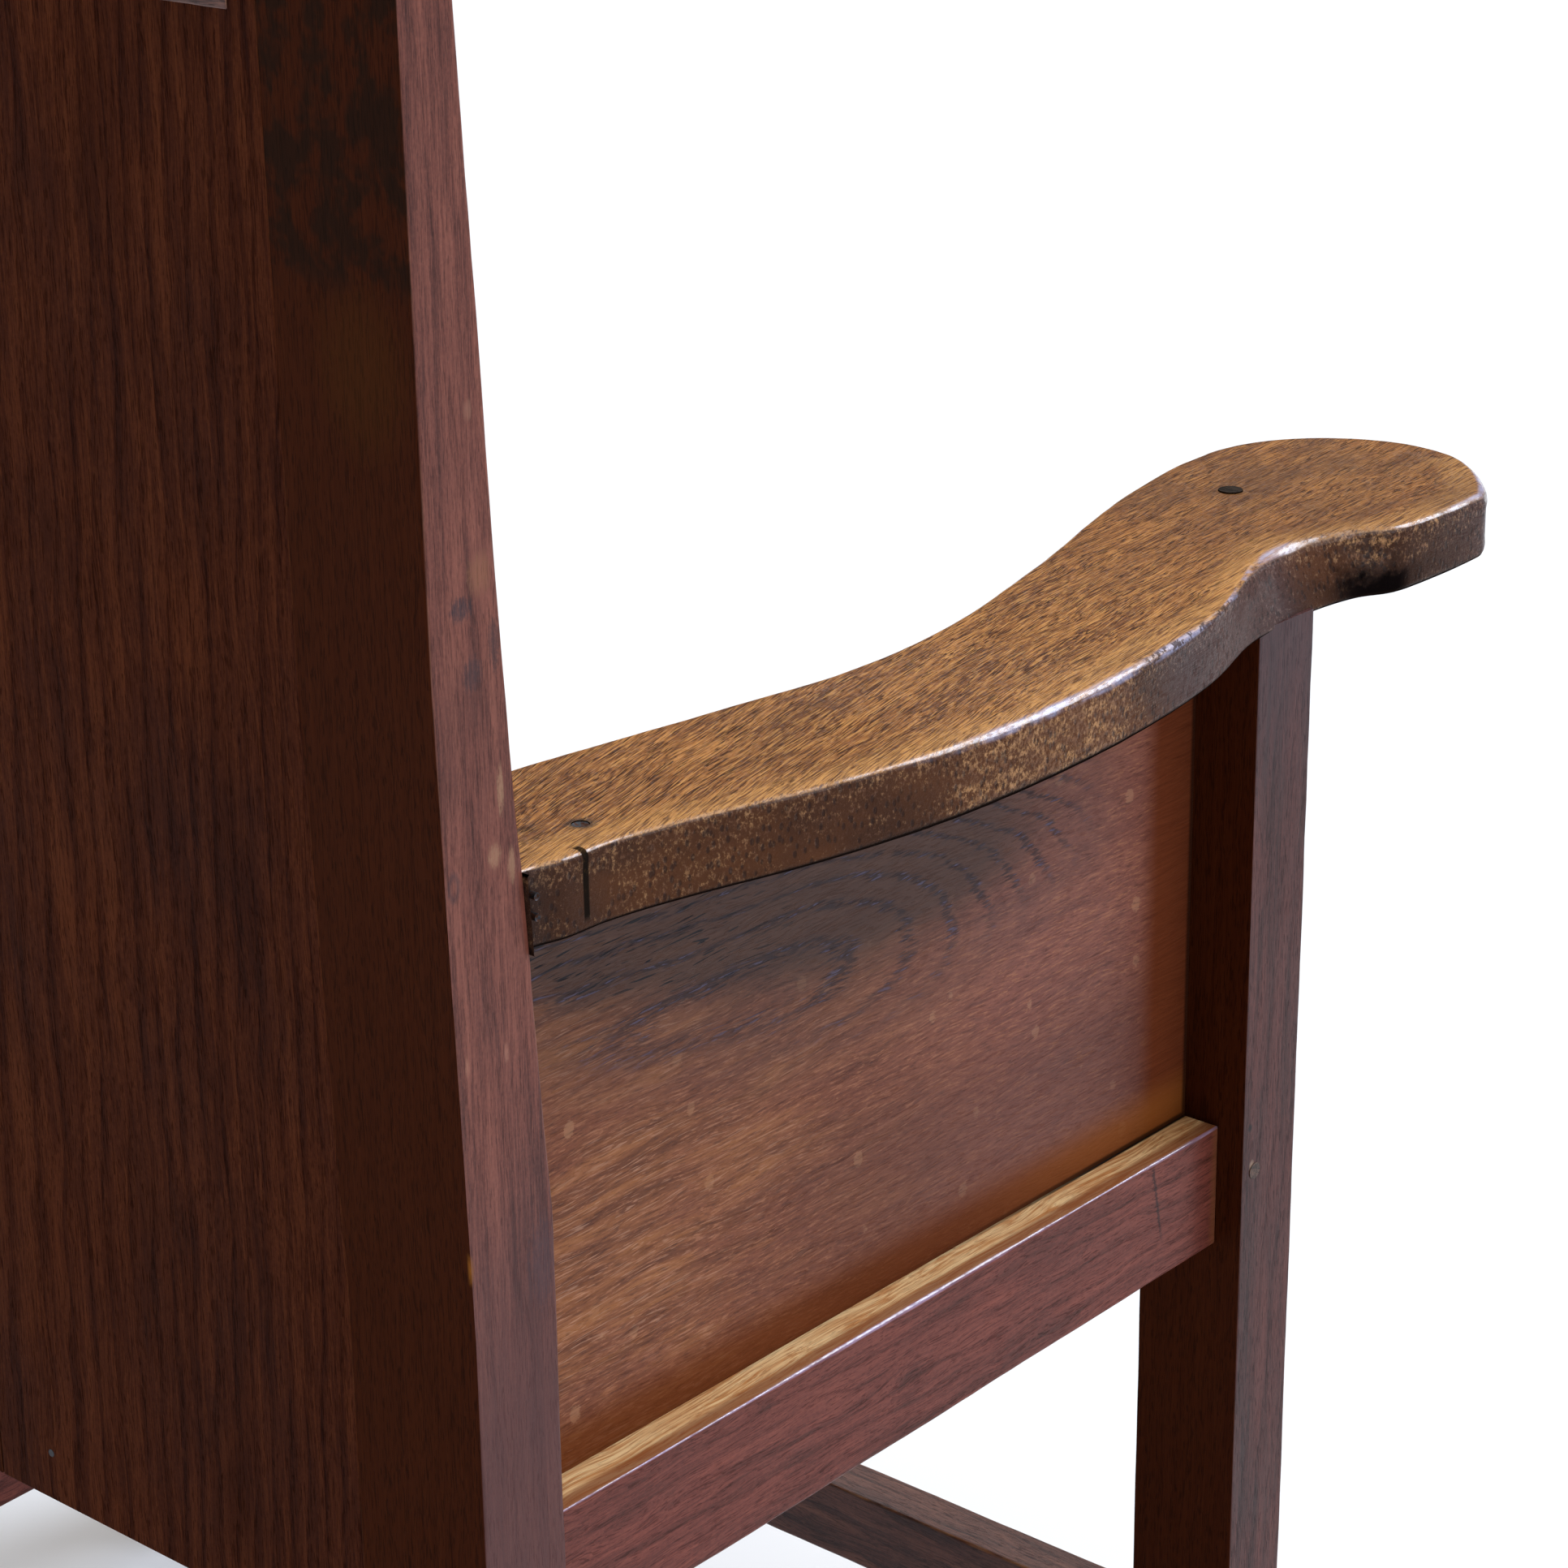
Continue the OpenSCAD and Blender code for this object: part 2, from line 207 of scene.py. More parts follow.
def profile_y(node):
    """Front and rear face of an upright CAD board as a function of height, read from its own corners."""
    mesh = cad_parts[node].data
    x_out = max(abs(v.co.x) for v in mesh.vertices)
    found = {}
    for v in mesh.vertices:
        if abs(abs(v.co.x) - x_out) < 1e-5:
            key = round(v.co.z, 4)
            low, high = found.get(key, (FAR, -FAR))
            found[key] = (min(low, v.co.y), max(high, v.co.y))
    levels = sorted(k for k, (low, high) in found.items() if high - low > 0.012)
    fronts = [(k, found[k][0]) for k in levels]
    rears = [(k, found[k][1]) for k in levels]

    def at(table, z):
        for (z0, y0), (z1, y1) in zip(table, table[1:]):
            if z <= z1:
                return y0 + (y1 - y0) * (z - z0) / (z1 - z0)
        return table[-1][1]

    return (lambda z: at(fronts, z)), (lambda z: at(rears, z))


stile_low, stile_high = box("rear_stile_left")
post_low, post_high = box("front_post_left")
panel_high = box("arm_panel_left")[1]
arm_low, arm_high = box("arm_left")
arm_top, arm_under = arm_high.z, arm_low.z
post_top = arm_under + 0.003
rail_out, _, rail_top = box("side_seat_rail_left")[1]
kerf_y = stile_low.y - 0.0170
nail_low, nail_high = min(islands("arm_nails"), key=lambda b: (b[0].x < 0, -b[1].z))
upright_nail = (abs(nail_low.x + nail_high.x) / 2, (nail_low.y + nail_high.y) / 2)


# -------- oak

class Tree:
    """Short calls for building one material's nodes."""

    def __init__(self, name):
        self.material = bpy.data.materials.new(name)
        self.material.use_nodes = True
        self.nodes = self.material.node_tree.nodes
        self.links = self.material.node_tree.links
        self.nodes.clear()

    def node(self, kind, **settings):
        made = self.nodes.new("ShaderNode" + kind)
        for key, value in settings.items():
            setattr(made, key, value)
        return made

    def plug(self, value, socket):
        if isinstance(value, bpy.types.NodeSocket):
            self.links.new(value, socket)
        elif value is not None:
            socket.default_value = value

    def math(self, operation, a, b=None, c=None, clamp=False):
        made = self.node("Math", operation=operation, use_clamp=clamp)
        for value, socket in zip((a, b, c), made.inputs):
            self.plug(value, socket)
        return made.outputs[0]

    def mul(self, *factors):
        made = factors[0]
        for factor in factors[1:]:
            made = self.math("MULTIPLY", made, factor)
        return made

    def vector_math(self, operation, a, b=None):
        made = self.node("VectorMath", operation=operation)
        self.plug(a, made.inputs[0])
        self.plug(b, made.inputs[1])
        return made.outputs[0]

    def remap(self, value, low, high, to_low=0.0, to_high=1.0):
        made = self.node("MapRange", interpolation_type="SMOOTHSTEP")
        for v, socket in zip((value, low, high, to_low, to_high), made.inputs):
            self.plug(v, socket)
        return made.outputs[0]

    def near(self, value, centre, far, close):
        """1 where the value is closer to the centre than close, 0 where it is farther off than far."""
        return self.remap(self.size(self.sub(value, centre)), far, close)

    def vary(self, value, noise, by):
        """The value, moved both ways by a noise."""
        return self.fma(self.sub(noise, 0.5), by, value)

    def behind(self, y, start, end, to_low=0.0, to_high=1.0):
        """A fade over a stretch measured backwards from the posts' rear face."""
        return self.remap(y, post_high.y + start, post_high.y + end, to_low, to_high)

    def noise(self, vector, sizes, detail=2.0, rough=0.5):
        """Noise whose grains have the given sizes in metres."""
        made = self.node("TexNoise")
        self.plug(self.stretch(vector, sizes), made.inputs["Vector"])
        for key, value in (("Scale", 1.0), ("Detail", detail), ("Roughness", rough)):
            made.inputs[key].default_value = value
        return made.outputs["Fac"]

    def spots(self, vector, dims="3D"):
        """Distance to the nearest of the points scattered one unit apart."""
        made = self.node("TexVoronoi", voronoi_dimensions=dims)
        self.plug(vector, made.inputs["Vector"])
        made.inputs["Scale"].default_value = 1.0
        return made.outputs["Distance"]

    def mix(self, factor, a, b):
        made = self.node("Mix", data_type="RGBA")
        self.plug(factor, made.inputs["Factor"])
        for value, key in ((a, 6), (b, 7)):
            self.plug((*value, 1.0) if isinstance(value, tuple) else value, made.inputs[key])
        return made.outputs[2]

    def over(self, colour, coat, *masks):
        """The colour with a coat laid over it, as thick as its masks multiplied together."""
        return self.mix(self.mul(*masks), colour, coat)

    def split(self, vector):
        made = self.node("SeparateXYZ")
        self.plug(vector, made.inputs[0])
        return made.outputs

    def bump(self, height, strength, distance):
        made = self.node("Bump")
        made.inputs["Strength"].default_value = strength
        made.inputs["Distance"].default_value = distance
        self.plug(height, made.inputs["Height"])
        return made

    def surface(self, inputs):
        """Ends the material in one principled shader."""
        shader = self.node("BsdfPrincipled")
        for key, value in inputs.items():
            self.plug(value, shader.inputs[key])
        self.links.new(shader.outputs[0], self.node("OutputMaterial").inputs[0])
        return self.material

    def combine(self, x, y, z):
        made = self.node("CombineXYZ")
        for value, socket in zip((x, y, z), made.inputs):
            self.plug(value, socket)
        return made.outputs[0]

    def length(self, vector):
        made = self.node("VectorMath", operation="LENGTH")
        self.plug(vector, made.inputs[0])
        return made.outputs["Value"]

    def mark(self, at, axis, centre, half, ragged=3.0):
        """Patch round a spot (axis, z), broken up by the fibres: 1 inside, fading past its half size."""
        a = self.div(self.sub(getattr(at, axis), centre[0]), half[0])
        b = self.div(self.sub(at.z, centre[1]), half[1])
        reach = self.fma(b, b, self.mul(a, a))
        broken = self.vary(reach, at.streak, ragged)
        broken = self.vary(broken, at.grit, ragged * 0.8)
        return self.remap(broken, 1.8, -0.2)

    def stretch(self, vector, sizes):
        """The vector divided by a size in metres on each of its axes."""
        return self.vector_math("MULTIPLY", vector, tuple(1 / s for s in sizes))


for short, operation in (("fma", "MULTIPLY_ADD"), ("add", "ADD"), ("sub", "SUBTRACT"), ("div", "DIVIDE"),
        ("most", "MAXIMUM"), ("least", "MINIMUM"), ("size", "ABSOLUTE")):
    setattr(Tree, short, lambda tree, *values, operation=operation: tree.math(operation, *values))


def oak(name, grain, dark, mid, light, seed=0.0, pores=0.7, pore_size=(0.00042, 0.007), figure=0.5,
        ring=0.006, pith=(0.05, 0.09), tilt=(0.05, 0.0), eye=None, sway=0.004, uneven_by=1.5,
        pore_bands=0.06, pore_level=0.585, mottle=0.3, wear=0.6, worn=(0.42, 0.2, 0.08), dents=0.0,
        rough=0.42, spec=0.3, coat=0.15, arris_coat=0.5, grime=0.4, streak_by=1.1,
        streak_size=(0.0011, 0.05), turn=None, extra=None):
    """Aged, waxed oak with its grain along one axis ("X", "Y" or "Z") of the chair."""
    t = Tree(name)
    place = t.node("TexCoord").outputs["Object"]
    x, y, z = t.split(place)
    across_a, across_b, along = {"X": (y, z, x), "Y": (x, z, y), "Z": (x, y, z)}[grain]
    if turn:
        # the grain swings in towards the sitter, more so at the rear; each hand has its own place in the log
        swing = t.mul(along, t.fma(along, turn[1], turn[0]))
        across_a = t.sub(t.size(x), swing)
        across_a = t.fma(t.math("GREATER_THAN", x, 0.0), 0.7, across_a)
    flat = t.combine(across_a, across_b, along)
    base = t.vector_math("ADD", flat, (seed * 0.37, seed * 0.21, seed * 0.53))

    # the fibres wander a little, so that no streak is ruled straight
    drift = t.node("TexNoise")
    t.plug(t.stretch(base, (0.06, 0.06, 0.25)), drift.inputs["Vector"])
    drift.inputs["Detail"].default_value = 1.0
    offset = t.vector_math("SUBTRACT", drift.outputs["Color"], (0.5, 0.5, 0.5))
    offset = t.vector_math("MULTIPLY", offset, (2 * sway, 2 * sway, 0.0))
    fibre = t.vector_math("ADD", base, offset)

    # growth rings about a pith line that leans through the board
    swayed = t.vector_math("ADD", flat, offset)
    part_a, part_b, part_along = t.split(swayed)
    ra = t.add(t.fma(part_along, tilt[0], part_a), -pith[0])
    rb = t.add(t.fma(part_along, tilt[1], part_b), -pith[1])
    radius = t.math("SQRT", t.add(t.mul(ra, ra), t.mul(rb, rb)))
    uneven = t.noise(base, (0.035, 0.035, 0.16))
    ring_at = t.add(t.div(radius, ring), t.mul(uneven, uneven_by))
    if eye:
        eye_along, eye_across, rear_reach, front_reach, half_height, rings = eye
        step = t.sub(part_along, eye_along)
        behind = t.div(t.most(step, 0.0), rear_reach)
        ahead = t.div(t.least(step, 0.0), front_reach)
        across = t.fma(step, -0.1, part_b)
        over = t.div(t.sub(across, eye_across), half_height)
        along_2 = t.add(t.mul(behind, behind), t.mul(ahead, ahead))
        reach = t.fma(over, over, along_2)
        ring_at = t.fma(t.math("EXPONENT", t.mul(reach, -1.0)), rings, ring_at)
    phase = t.math("FRACT", ring_at)
    early = t.mul(t.remap(phase, 0.05, 0.55, 1.0, 0.0), t.remap(phase, 0.0, 0.06))

    # pores, fibres and broad colour change
    pore = t.noise(fibre, (pore_size[0], pore_size[0], pore_size[1]), detail=1.0)
    level = t.fma(early, -pore_bands, pore_level)
    dash = t.remap(pore, level, t.add(level, 0.04))
    thin, long = streak_size
    streak = t.noise(fibre, (thin, thin, long), detail=3.0, rough=0.6)
    band = t.noise(fibre, (0.007, 0.007, 0.14), detail=3.0, rough=0.55)
    cloud = t.noise(base, (0.045, 0.045, 0.09), detail=4.0, rough=0.55)
    grit = t.noise(base, (0.0009, 0.0009, 0.0016), rough=0.6)
    ray = t.noise(fibre, (0.0045, 0.0007, 0.012), detail=1.0)

    tone = t.vary(0.5, streak, streak_by)
    tone = t.vary(tone, band, 1.0)
    tone = t.vary(tone, cloud, 2.4 * mottle)
    tone = t.vary(tone, grit, 0.5)
    tone = t.fma(t.sub(early, 0.3), -0.5 * figure, tone)
    ramp = t.node("ValToRGB")
    ramp.color_ramp.elements[0].position = 0.12
    ramp.color_ramp.elements[0].color = (*dark, 1)
    ramp.color_ramp.elements[1].position = 0.9
    ramp.color_ramp.elements[1].color = (*light, 1)
    middle = ramp.color_ramp.elements.new(0.5)
    middle.color = (*mid, 1)
    t.plug(tone, ramp.inputs[0])
    colour = ramp.outputs[0]
    colour = t.over(colour, light, t.remap(ray, 0.62, 0.72), 0.25)
    colour = t.over(colour, tuple(0.3 * c for c in dark), dash, pores)

    # grime in broad clouds, and bright wood where hands and sleeves have rubbed the arrises
    soil = t.noise(base, (0.07, 0.07, 0.13), detail=5.0, rough=0.62)
    colour = t.over(colour, tuple(0.5 * c for c in dark), t.remap(soil, 0.52, 0.72), grime)
    facing = t.split(t.node("NewGeometry").outputs["Normal"])
    nx, ny, nz = [t.size(o) for o in facing]
    flat_to = t.most(nz, t.most(nx, ny))
    arris = t.remap(flat_to, 0.985, 0.86)
    rub = t.noise(base, (0.006, 0.006, 0.03), detail=4.0, rough=0.6)
    rub = t.remap(rub, 0.38, 0.62)
    upper = t.remap(facing[2], -0.3, 0.1)
    colour = t.over(colour, worn, arris, rub, upper, wear)
    if dents:
        spread = t.combine(t.add(across_b, seed * 0.21), t.add(along, seed * 0.53), 0.0)
        pit = t.spots(t.vector_math("MULTIPLY", spread, (1 / 0.031, 1 / 0.026, 0.0)), dims="2D")
        pit = t.vary(pit, grit, 0.16)
        size = t.remap(t.noise(base, (0.05, 0.026, 0.022), detail=1.0), 0.42, 0.68, -0.03, 0.12)
        pit_mask = t.math("MULTIPLY", t.sub(size, pit), 40.0, clamp=True)
        colour = t.over(colour, worn, pit_mask, dents)
    broken = t.noise(base, (0.0016, 0.0016, 0.0035), detail=3.0, rough=0.65)
    skyward = t.mul(t.remap(facing[2], 0.0, 0.3), t.remap(broken, 0.36, 0.56, 0.25, 1.0))
    made = SimpleNamespace(colour=colour, spec=spec, relief=None,
        coat=t.fma(t.mul(arris, skyward), arris_coat, coat))
    if extra:
        extra(t, made, SimpleNamespace(x=x, y=y, z=z, nx=nx, n=facing, base=base, fibre=fibre, rub=rub,
            arris=arris, dash=dash, cloud=cloud, grit=grit, streak=streak, soil=soil, phase=phase))

    gloss = t.vary(rough, cloud, 0.35)
    gloss = t.fma(dash, 0.22, gloss)
    gloss = t.fma(arris, -0.10, gloss)

    relief = t.mul(dash, -0.6)
    relief = t.fma(streak, 0.35, relief)
    relief = t.fma(early, -0.12, relief)
    if made.relief:
        relief = t.add(relief, made.relief)
    fine = t.bump(relief, 0.5, 0.0003)
    broad = t.bump(t.noise(base, (0.03, 0.03, 0.07)), 0.35, 0.003)
    t.plug(broad.outputs[0], fine.inputs["Normal"])
    return t.surface({"Base Color": made.colour, "Roughness": gloss, "Normal": fine.outputs[0], "IOR": 1.47,
        "Specular IOR Level": made.spec, "Specular Tint": (0.80, 0.86, 1.0, 1), "Coat Weight": made.coat,
        "Coat Roughness": 0.17, "Coat IOR": 1.65})


def metal(name, colour, rough):
    """Old iron, dark with rust in its hollows."""
    t = Tree(name)
    place = t.node("TexCoord").outputs["Object"]
    patch = t.noise(place, (0.0015, 0.0015, 0.0015), detail=4.0)
    return t.surface({"Base Color": t.mix(t.remap(patch, 0.45, 0.62), colour, (0.09, 0.035, 0.018)),
        "Roughness": t.remap(patch, 0.4, 0.65, rough, 0.8), "Metallic": 0.85})


def arm_faces(t, made, at):
    """Top clean and warm, sawn edges dark and granular with rubbed golden specks, underside nearly black with
    painted shade; painted highlights and a painted purple sheen on the outer edge.
    """
    rim = t.node("Attribute", attribute_name="rim").outputs["Fac"]
    uneven_rim = t.vary(rim, at.cloud, 0.03)
    band = t.mul(t.remap(uneven_rim, 0.017, 0.003), t.remap(at.streak, 0.3, 0.6))
    top = t.over(made.colour, (0.62, 0.31, 0.095), band, 0.65)
    ahead = t.remap(at.y, post_high.y, post_low.y - 0.05)
    brown = t.mul(ahead, t.remap(at.soil, 0.35, 0.60))
    top = t.over(top, (0.105, 0.042, 0.016), brown, 0.6)
    hair = t.noise(at.fibre, (0.00055, 0.00055, 0.011), detail=1.5, rough=0.6)
    behind_post = t.remap(at.y, post_high.y - 0.01, post_high.y + 0.07, 0.35, 1.0)
    top = t.over(top, (0.085, 0.029, 0.008), t.remap(hair, 0.53, 0.61, 0.0, 0.62), behind_post)
    top = t.over(top, (0.66, 0.33, 0.095), t.remap(hair, 0.46, 0.38, 0.0, 0.50), behind_post)
    nail_x, nail_y = upright_nail
    off = t.vector_math("SUBTRACT", t.combine(t.size(at.x), at.y, 0.0), (nail_x, nail_y, 0.0))
    halo = t.add(t.length(off), t.mul(at.grit, 0.004))
    top = t.over(top, (0.018, 0.010, 0.007), t.remap(halo, 0.0085, 0.005), 0.75)
    made.colour = top
    upright = t.remap(at.n[2], 0.78, 0.50)
    coarse = t.noise(at.base, (0.0017, 0.0021, 0.0016), detail=5.0, rough=0.78)
    blend = t.noise(at.base, (0.0035, 0.0035, 0.007))
    edge = t.mix(t.remap(at.cloud, 0.35, 0.7), (0.055, 0.019, 0.007), (0.115, 0.040, 0.013))
    bow = t.near(at.y, post_high.y + 0.180, 0.075, 0.035)
    front = t.remap(at.y, post_low.y + 0.01, post_low.y - 0.03)
    patch = t.noise(at.base, (0.02, 0.02, 0.035), detail=3.0)
    blotch = t.noise(at.base, (0.007, 0.007, 0.010), detail=3.0, rough=0.6)
    upper = t.mul(t.remap(blotch, 0.36, 0.66), t.remap(at.z, arm_under + 0.009, arm_under + 0.018))
    front_gold = t.mul(front, t.remap(at.n[1], -0.20, 0.10))
    front_gold = t.mul(front_gold, upper)
    golden = t.most(t.mul(bow, 0.95), t.mul(front_gold, 1.2))
    golden = t.most(golden, t.mul(t.remap(patch, 0.46, 0.66), 0.45))
    golden = t.most(golden, t.mul(t.remap(at.z, arm_under + 0.012, arm_top - 0.004), 0.6))
    behind = t.mul(t.remap(at.y, kerf_y - 0.085, kerf_y - 0.060), t.remap(at.y, kerf_y, kerf_y - 0.015))
    golden = t.most(golden, t.mul(behind, 0.45))
    low = t.fma(golden, -0.13, 0.56)
    specks = t.remap(coarse, low, t.add(low, 0.17))
    gold = t.mix(t.remap(blend, 0.35, 0.65), (0.20, 0.080, 0.026), (0.52, 0.265, 0.10))
    edge = t.over(edge, gold, specks, t.fma(golden, 0.6, 0.35))
    waist = t.mul(t.behind(at.y, 0.125, 0.080), t.remap(at.y, post_low.y - 0.005, post_low.y + 0.022))
    tip = t.mul(front, t.remap(at.n[1], 0.08, -0.15))
    # painted sheen: purple-grey over the edge at the waist and on the front faces of the tip
    purple = t.most(waist, tip)
    edge = t.over(edge, t.mix(specks, (0.058, 0.029, 0.030), (0.150, 0.085, 0.080)), purple, 0.7)
    pits = t.spots(t.stretch(at.base, (0.0030, 0.0042, 0.0027)))
    pit = t.mul(t.remap(pits, 0.40, 0.22), t.remap(patch, 0.30, 0.50))
    edge = t.over(edge, (0.012, 0.006, 0.005), pit, 0.6)
    stain = t.remap(at.y, kerf_y + 0.010, kerf_y + 0.022)
    edge = t.over(edge, (0.030, 0.019, 0.017), stain, 0.45)
    # painted shade: on the paddle, the edge faces not turned to the front are made nearly black below a ragged
    # line
    ragged = t.vary(at.z, blotch, 0.022)
    underside_shade = t.mul(front, t.remap(ragged, arm_under + 0.017, arm_under + 0.006))
    underside_shade = t.mul(underside_shade, t.remap(at.n[1], -0.05, 0.25))
    edge = t.mix(underside_shade, edge, (0.006, 0.004, 0.004))
    colour = t.mix(upright, made.colour, edge)
    chips = t.noise(at.base, (0.004, 0.004, 0.0035), rough=0.7)
    chipped = t.near(at.y, post_high.y + 0.075, 0.055, 0.03)
    chipped = t.mul(chipped, t.remap(chips, 0.50, 0.56))
    flared = t.behind(at.y, 0.03, 0.01, 0.0, 0.38)
    skyward = t.mul(at.arris, t.remap(t.sub(at.n[2], flared), 0.15, 0.4))
    # painted highlight: a bluish-white sheen on the outer top arris from the bow forward to the waist, and at
    # the tip
    painted_highlight = t.mul(skyward, t.behind(at.y, 0.26, 0.18))
    middle = t.most(t.remap(at.y, post_low.y - 0.006, post_low.y + 0.006),
        t.remap(at.y, post_low.y - 0.075, post_low.y - 0.090))
    painted_highlight = t.mul(painted_highlight, middle)
    colour = t.over(colour, (0.42, 0.42, 0.62), painted_highlight, at.rub, 0.75)
    colour = t.over(colour, (0.05, 0.024, 0.014), chipped, skyward, 0.85)
    # painted shade: faces turned downwards are made nearly black, less so at the tip
    under = t.remap(at.n[2], -0.15, -0.55)
    colour = t.over(colour, (0.010, 0.006, 0.005), under, t.fma(tip, -0.55, 1.0))
    cut = t.near(at.y, kerf_y, 0.0016, 0.0010)
    cut = t.mul(cut, t.remap(t.size(at.x), post_high.x - 0.0045, post_high.x - 0.0025))
    cut = t.mul(cut, t.remap(at.z, arm_under + 0.003, arm_under + 0.006))
    made.colour = t.over(colour, (0.008, 0.008, 0.007), cut, 0.9)
    dull = t.most(cut, t.mul(t.most(underside_shade, under), upright))
    made.spec = t.mul(t.fma(specks, 0.25, 0.08), t.sub(1.0, dull))
    rough_edge = t.sub(t.mul(coarse, 4.0), t.mul(pit, 1.5))
    made.relief = t.mul(rough_edge, upright)
    made.coat = t.fma(t.mul(purple, upright), 0.08, made.coat)
    made.coat = t.mul(made.coat, t.sub(1.0, t.most(dull, chipped)))


def panel_faces(t, made, at):
    """Dark and bluish under the arm with a painted shadow, golden towards the back, orange beside the post and
    the rail where painted colour stands in for the sheen they keep off; painted glints and a painted pinkish
    sheen.
    """
    y, z = at.y, at.z
    colour = made.colour
    gold = t.mul(t.remap(y, -0.01, 0.17), t.remap(at.soil, 0.66, 0.42))
    colour = t.over(colour, t.mix(at.streak, (0.14, 0.042, 0.013), (0.42, 0.165, 0.060)), gold, 0.72)
    bars = t.noise(at.fibre, (0.006, 0.006, 0.075), detail=3.0, rough=0.6)
    colour = t.over(colour, (0.105, 0.028, 0.012), gold, t.remap(bars, 0.50, 0.38, 0.0, 0.65))
    colour = t.over(colour, (0.42, 0.165, 0.055), gold, t.remap(bars, 0.50, 0.64, 0.0, 0.50))
    # painted sheen: a pinkish-purple cast over the panel towards the post
    pink_sheen = t.behind(y, 0.22, 0.10)
    colour = t.over(colour, (0.33, 0.130, 0.115), pink_sheen, 0.30)
    flecks = t.noise(at.fibre, (0.0009, 0.0009, 0.0085), detail=3.0, rough=0.75)
    colour = t.over(colour, (0.44, 0.180, 0.090), t.remap(flecks, 0.53, 0.66), 0.62)
    colour = t.over(colour, (0.050, 0.015, 0.010), t.remap(flecks, 0.47, 0.34), 0.50)
    # painted glints: fine pale streaks along the fibres in the golden part, standing in for light caught by
    # the pores
    hair = t.noise(at.fibre, (0.0006, 0.0006, 0.013), detail=1.0)
    bright = t.mul(gold, t.remap(hair, 0.60, 0.67))
    colour = t.over(colour, (0.62, 0.34, 0.22), bright, 0.40)
    dim = t.mul(t.remap(z, rail_top + 0.105, rail_top + 0.050), t.behind(y, 0.30, 0.17))
    colour = t.over(colour, (0.085, 0.026, 0.018), dim, 0.50)

    # painted shadow of the arm, in the mask named stain: the dark band under the arm hangs lowest a little
    # behind the middle of the panel
    aside = t.sub(y, post_high.y + 0.198)
    hem = t.fma(t.mul(aside, aside), 1.6, arm_under - 0.080)
    above = t.sub(t.vary(z, at.cloud, 0.03), hem)
    stain = t.mul(t.remap(above, -0.006, 0.014), t.behind(y, 0.07, 0.14))
    colour = t.over(colour, t.mix(at.streak, (0.032, 0.019, 0.015), (0.090, 0.047, 0.025)), stain, 0.84)
    # painted shade: a softer, dull band just below the arm's painted shadow
    shadow_fringe = t.mul(t.remap(above, -0.050, -0.010), t.behind(y, 0.035, 0.075))
    colour = t.over(colour, (0.105, 0.050, 0.043), shadow_fringe, 0.35)
    jag = t.vary(at.phase, at.streak, 0.7)
    line = t.near(jag, 0.5, 0.19, 0.06)
    strands = t.noise(at.fibre, (0.0010, 0.0010, 0.009))
    near_arm_shadow = t.remap(above, -0.030, 0.004)
    near_arm_shadow = t.mul(near_arm_shadow, t.behind(y, 0.05, 0.10))
    inked = t.mul(line, near_arm_shadow, t.remap(strands, 0.36, 0.52))
    colour = t.over(colour, (0.022, 0.012, 0.016), inked, 0.75)
    # painted glints: bluish-violet sparks along ring lines near the arm's painted shadow
    vein_glint = t.mul(line, near_arm_shadow, t.remap(strands, 0.59, 0.66))
    colour = t.over(colour, (0.125, 0.105, 0.18), vein_glint, 0.7)
    long_pore = t.noise(at.fibre, (0.0009, 0.0009, 0.016), detail=1.0)
    vein = t.mul(t.remap(long_pore, 0.61, 0.66), stain)
    vein = t.mul(vein, t.behind(y, 0.20, 0.30))
    colour = t.mix(vein, colour, (0.010, 0.006, 0.008))

    # painted reflection: beside the post and just above the rail the panel is painted a clear orange where the
    # post and rail keep the pale sheen off it; coat and specular are turned down there too
    front = t.behind(y, 0.036, 0.022)
    colour = t.over(colour, t.mix(at.streak, (0.075, 0.015, 0.005), (0.21, 0.052, 0.017)), front, 0.92)
    low = t.remap(z, rail_top + 0.026, rail_top + 0.008)
    corner = t.behind(y, 0.16, 0.03)
    glow = t.mix(corner, (0.15, 0.040, 0.010), (0.32, 0.100, 0.020))
    colour = t.over(colour, glow, low, 0.70)
    open_gap = t.behind(y, 0.20, 0.05, 0.15, 1.0)
    seam = t.most(t.mul(t.remap(z, rail_top + 0.0022, rail_top + 0.0008), open_gap),
        t.behind(y, 0.003, 0.0008))
    made.colour = t.over(colour, (0.018, 0.008, 0.005), seam, 0.8)
    keep = t.sub(1.0, t.most(front, low))
    glint = t.mul(t.remap(flecks, 0.60, 0.72), t.fma(gold, 0.22, 0.06))
    made.coat = t.mul(t.add(glint, 0.02), keep)
    made.spec = t.fma(keep, 0.13, 0.03)


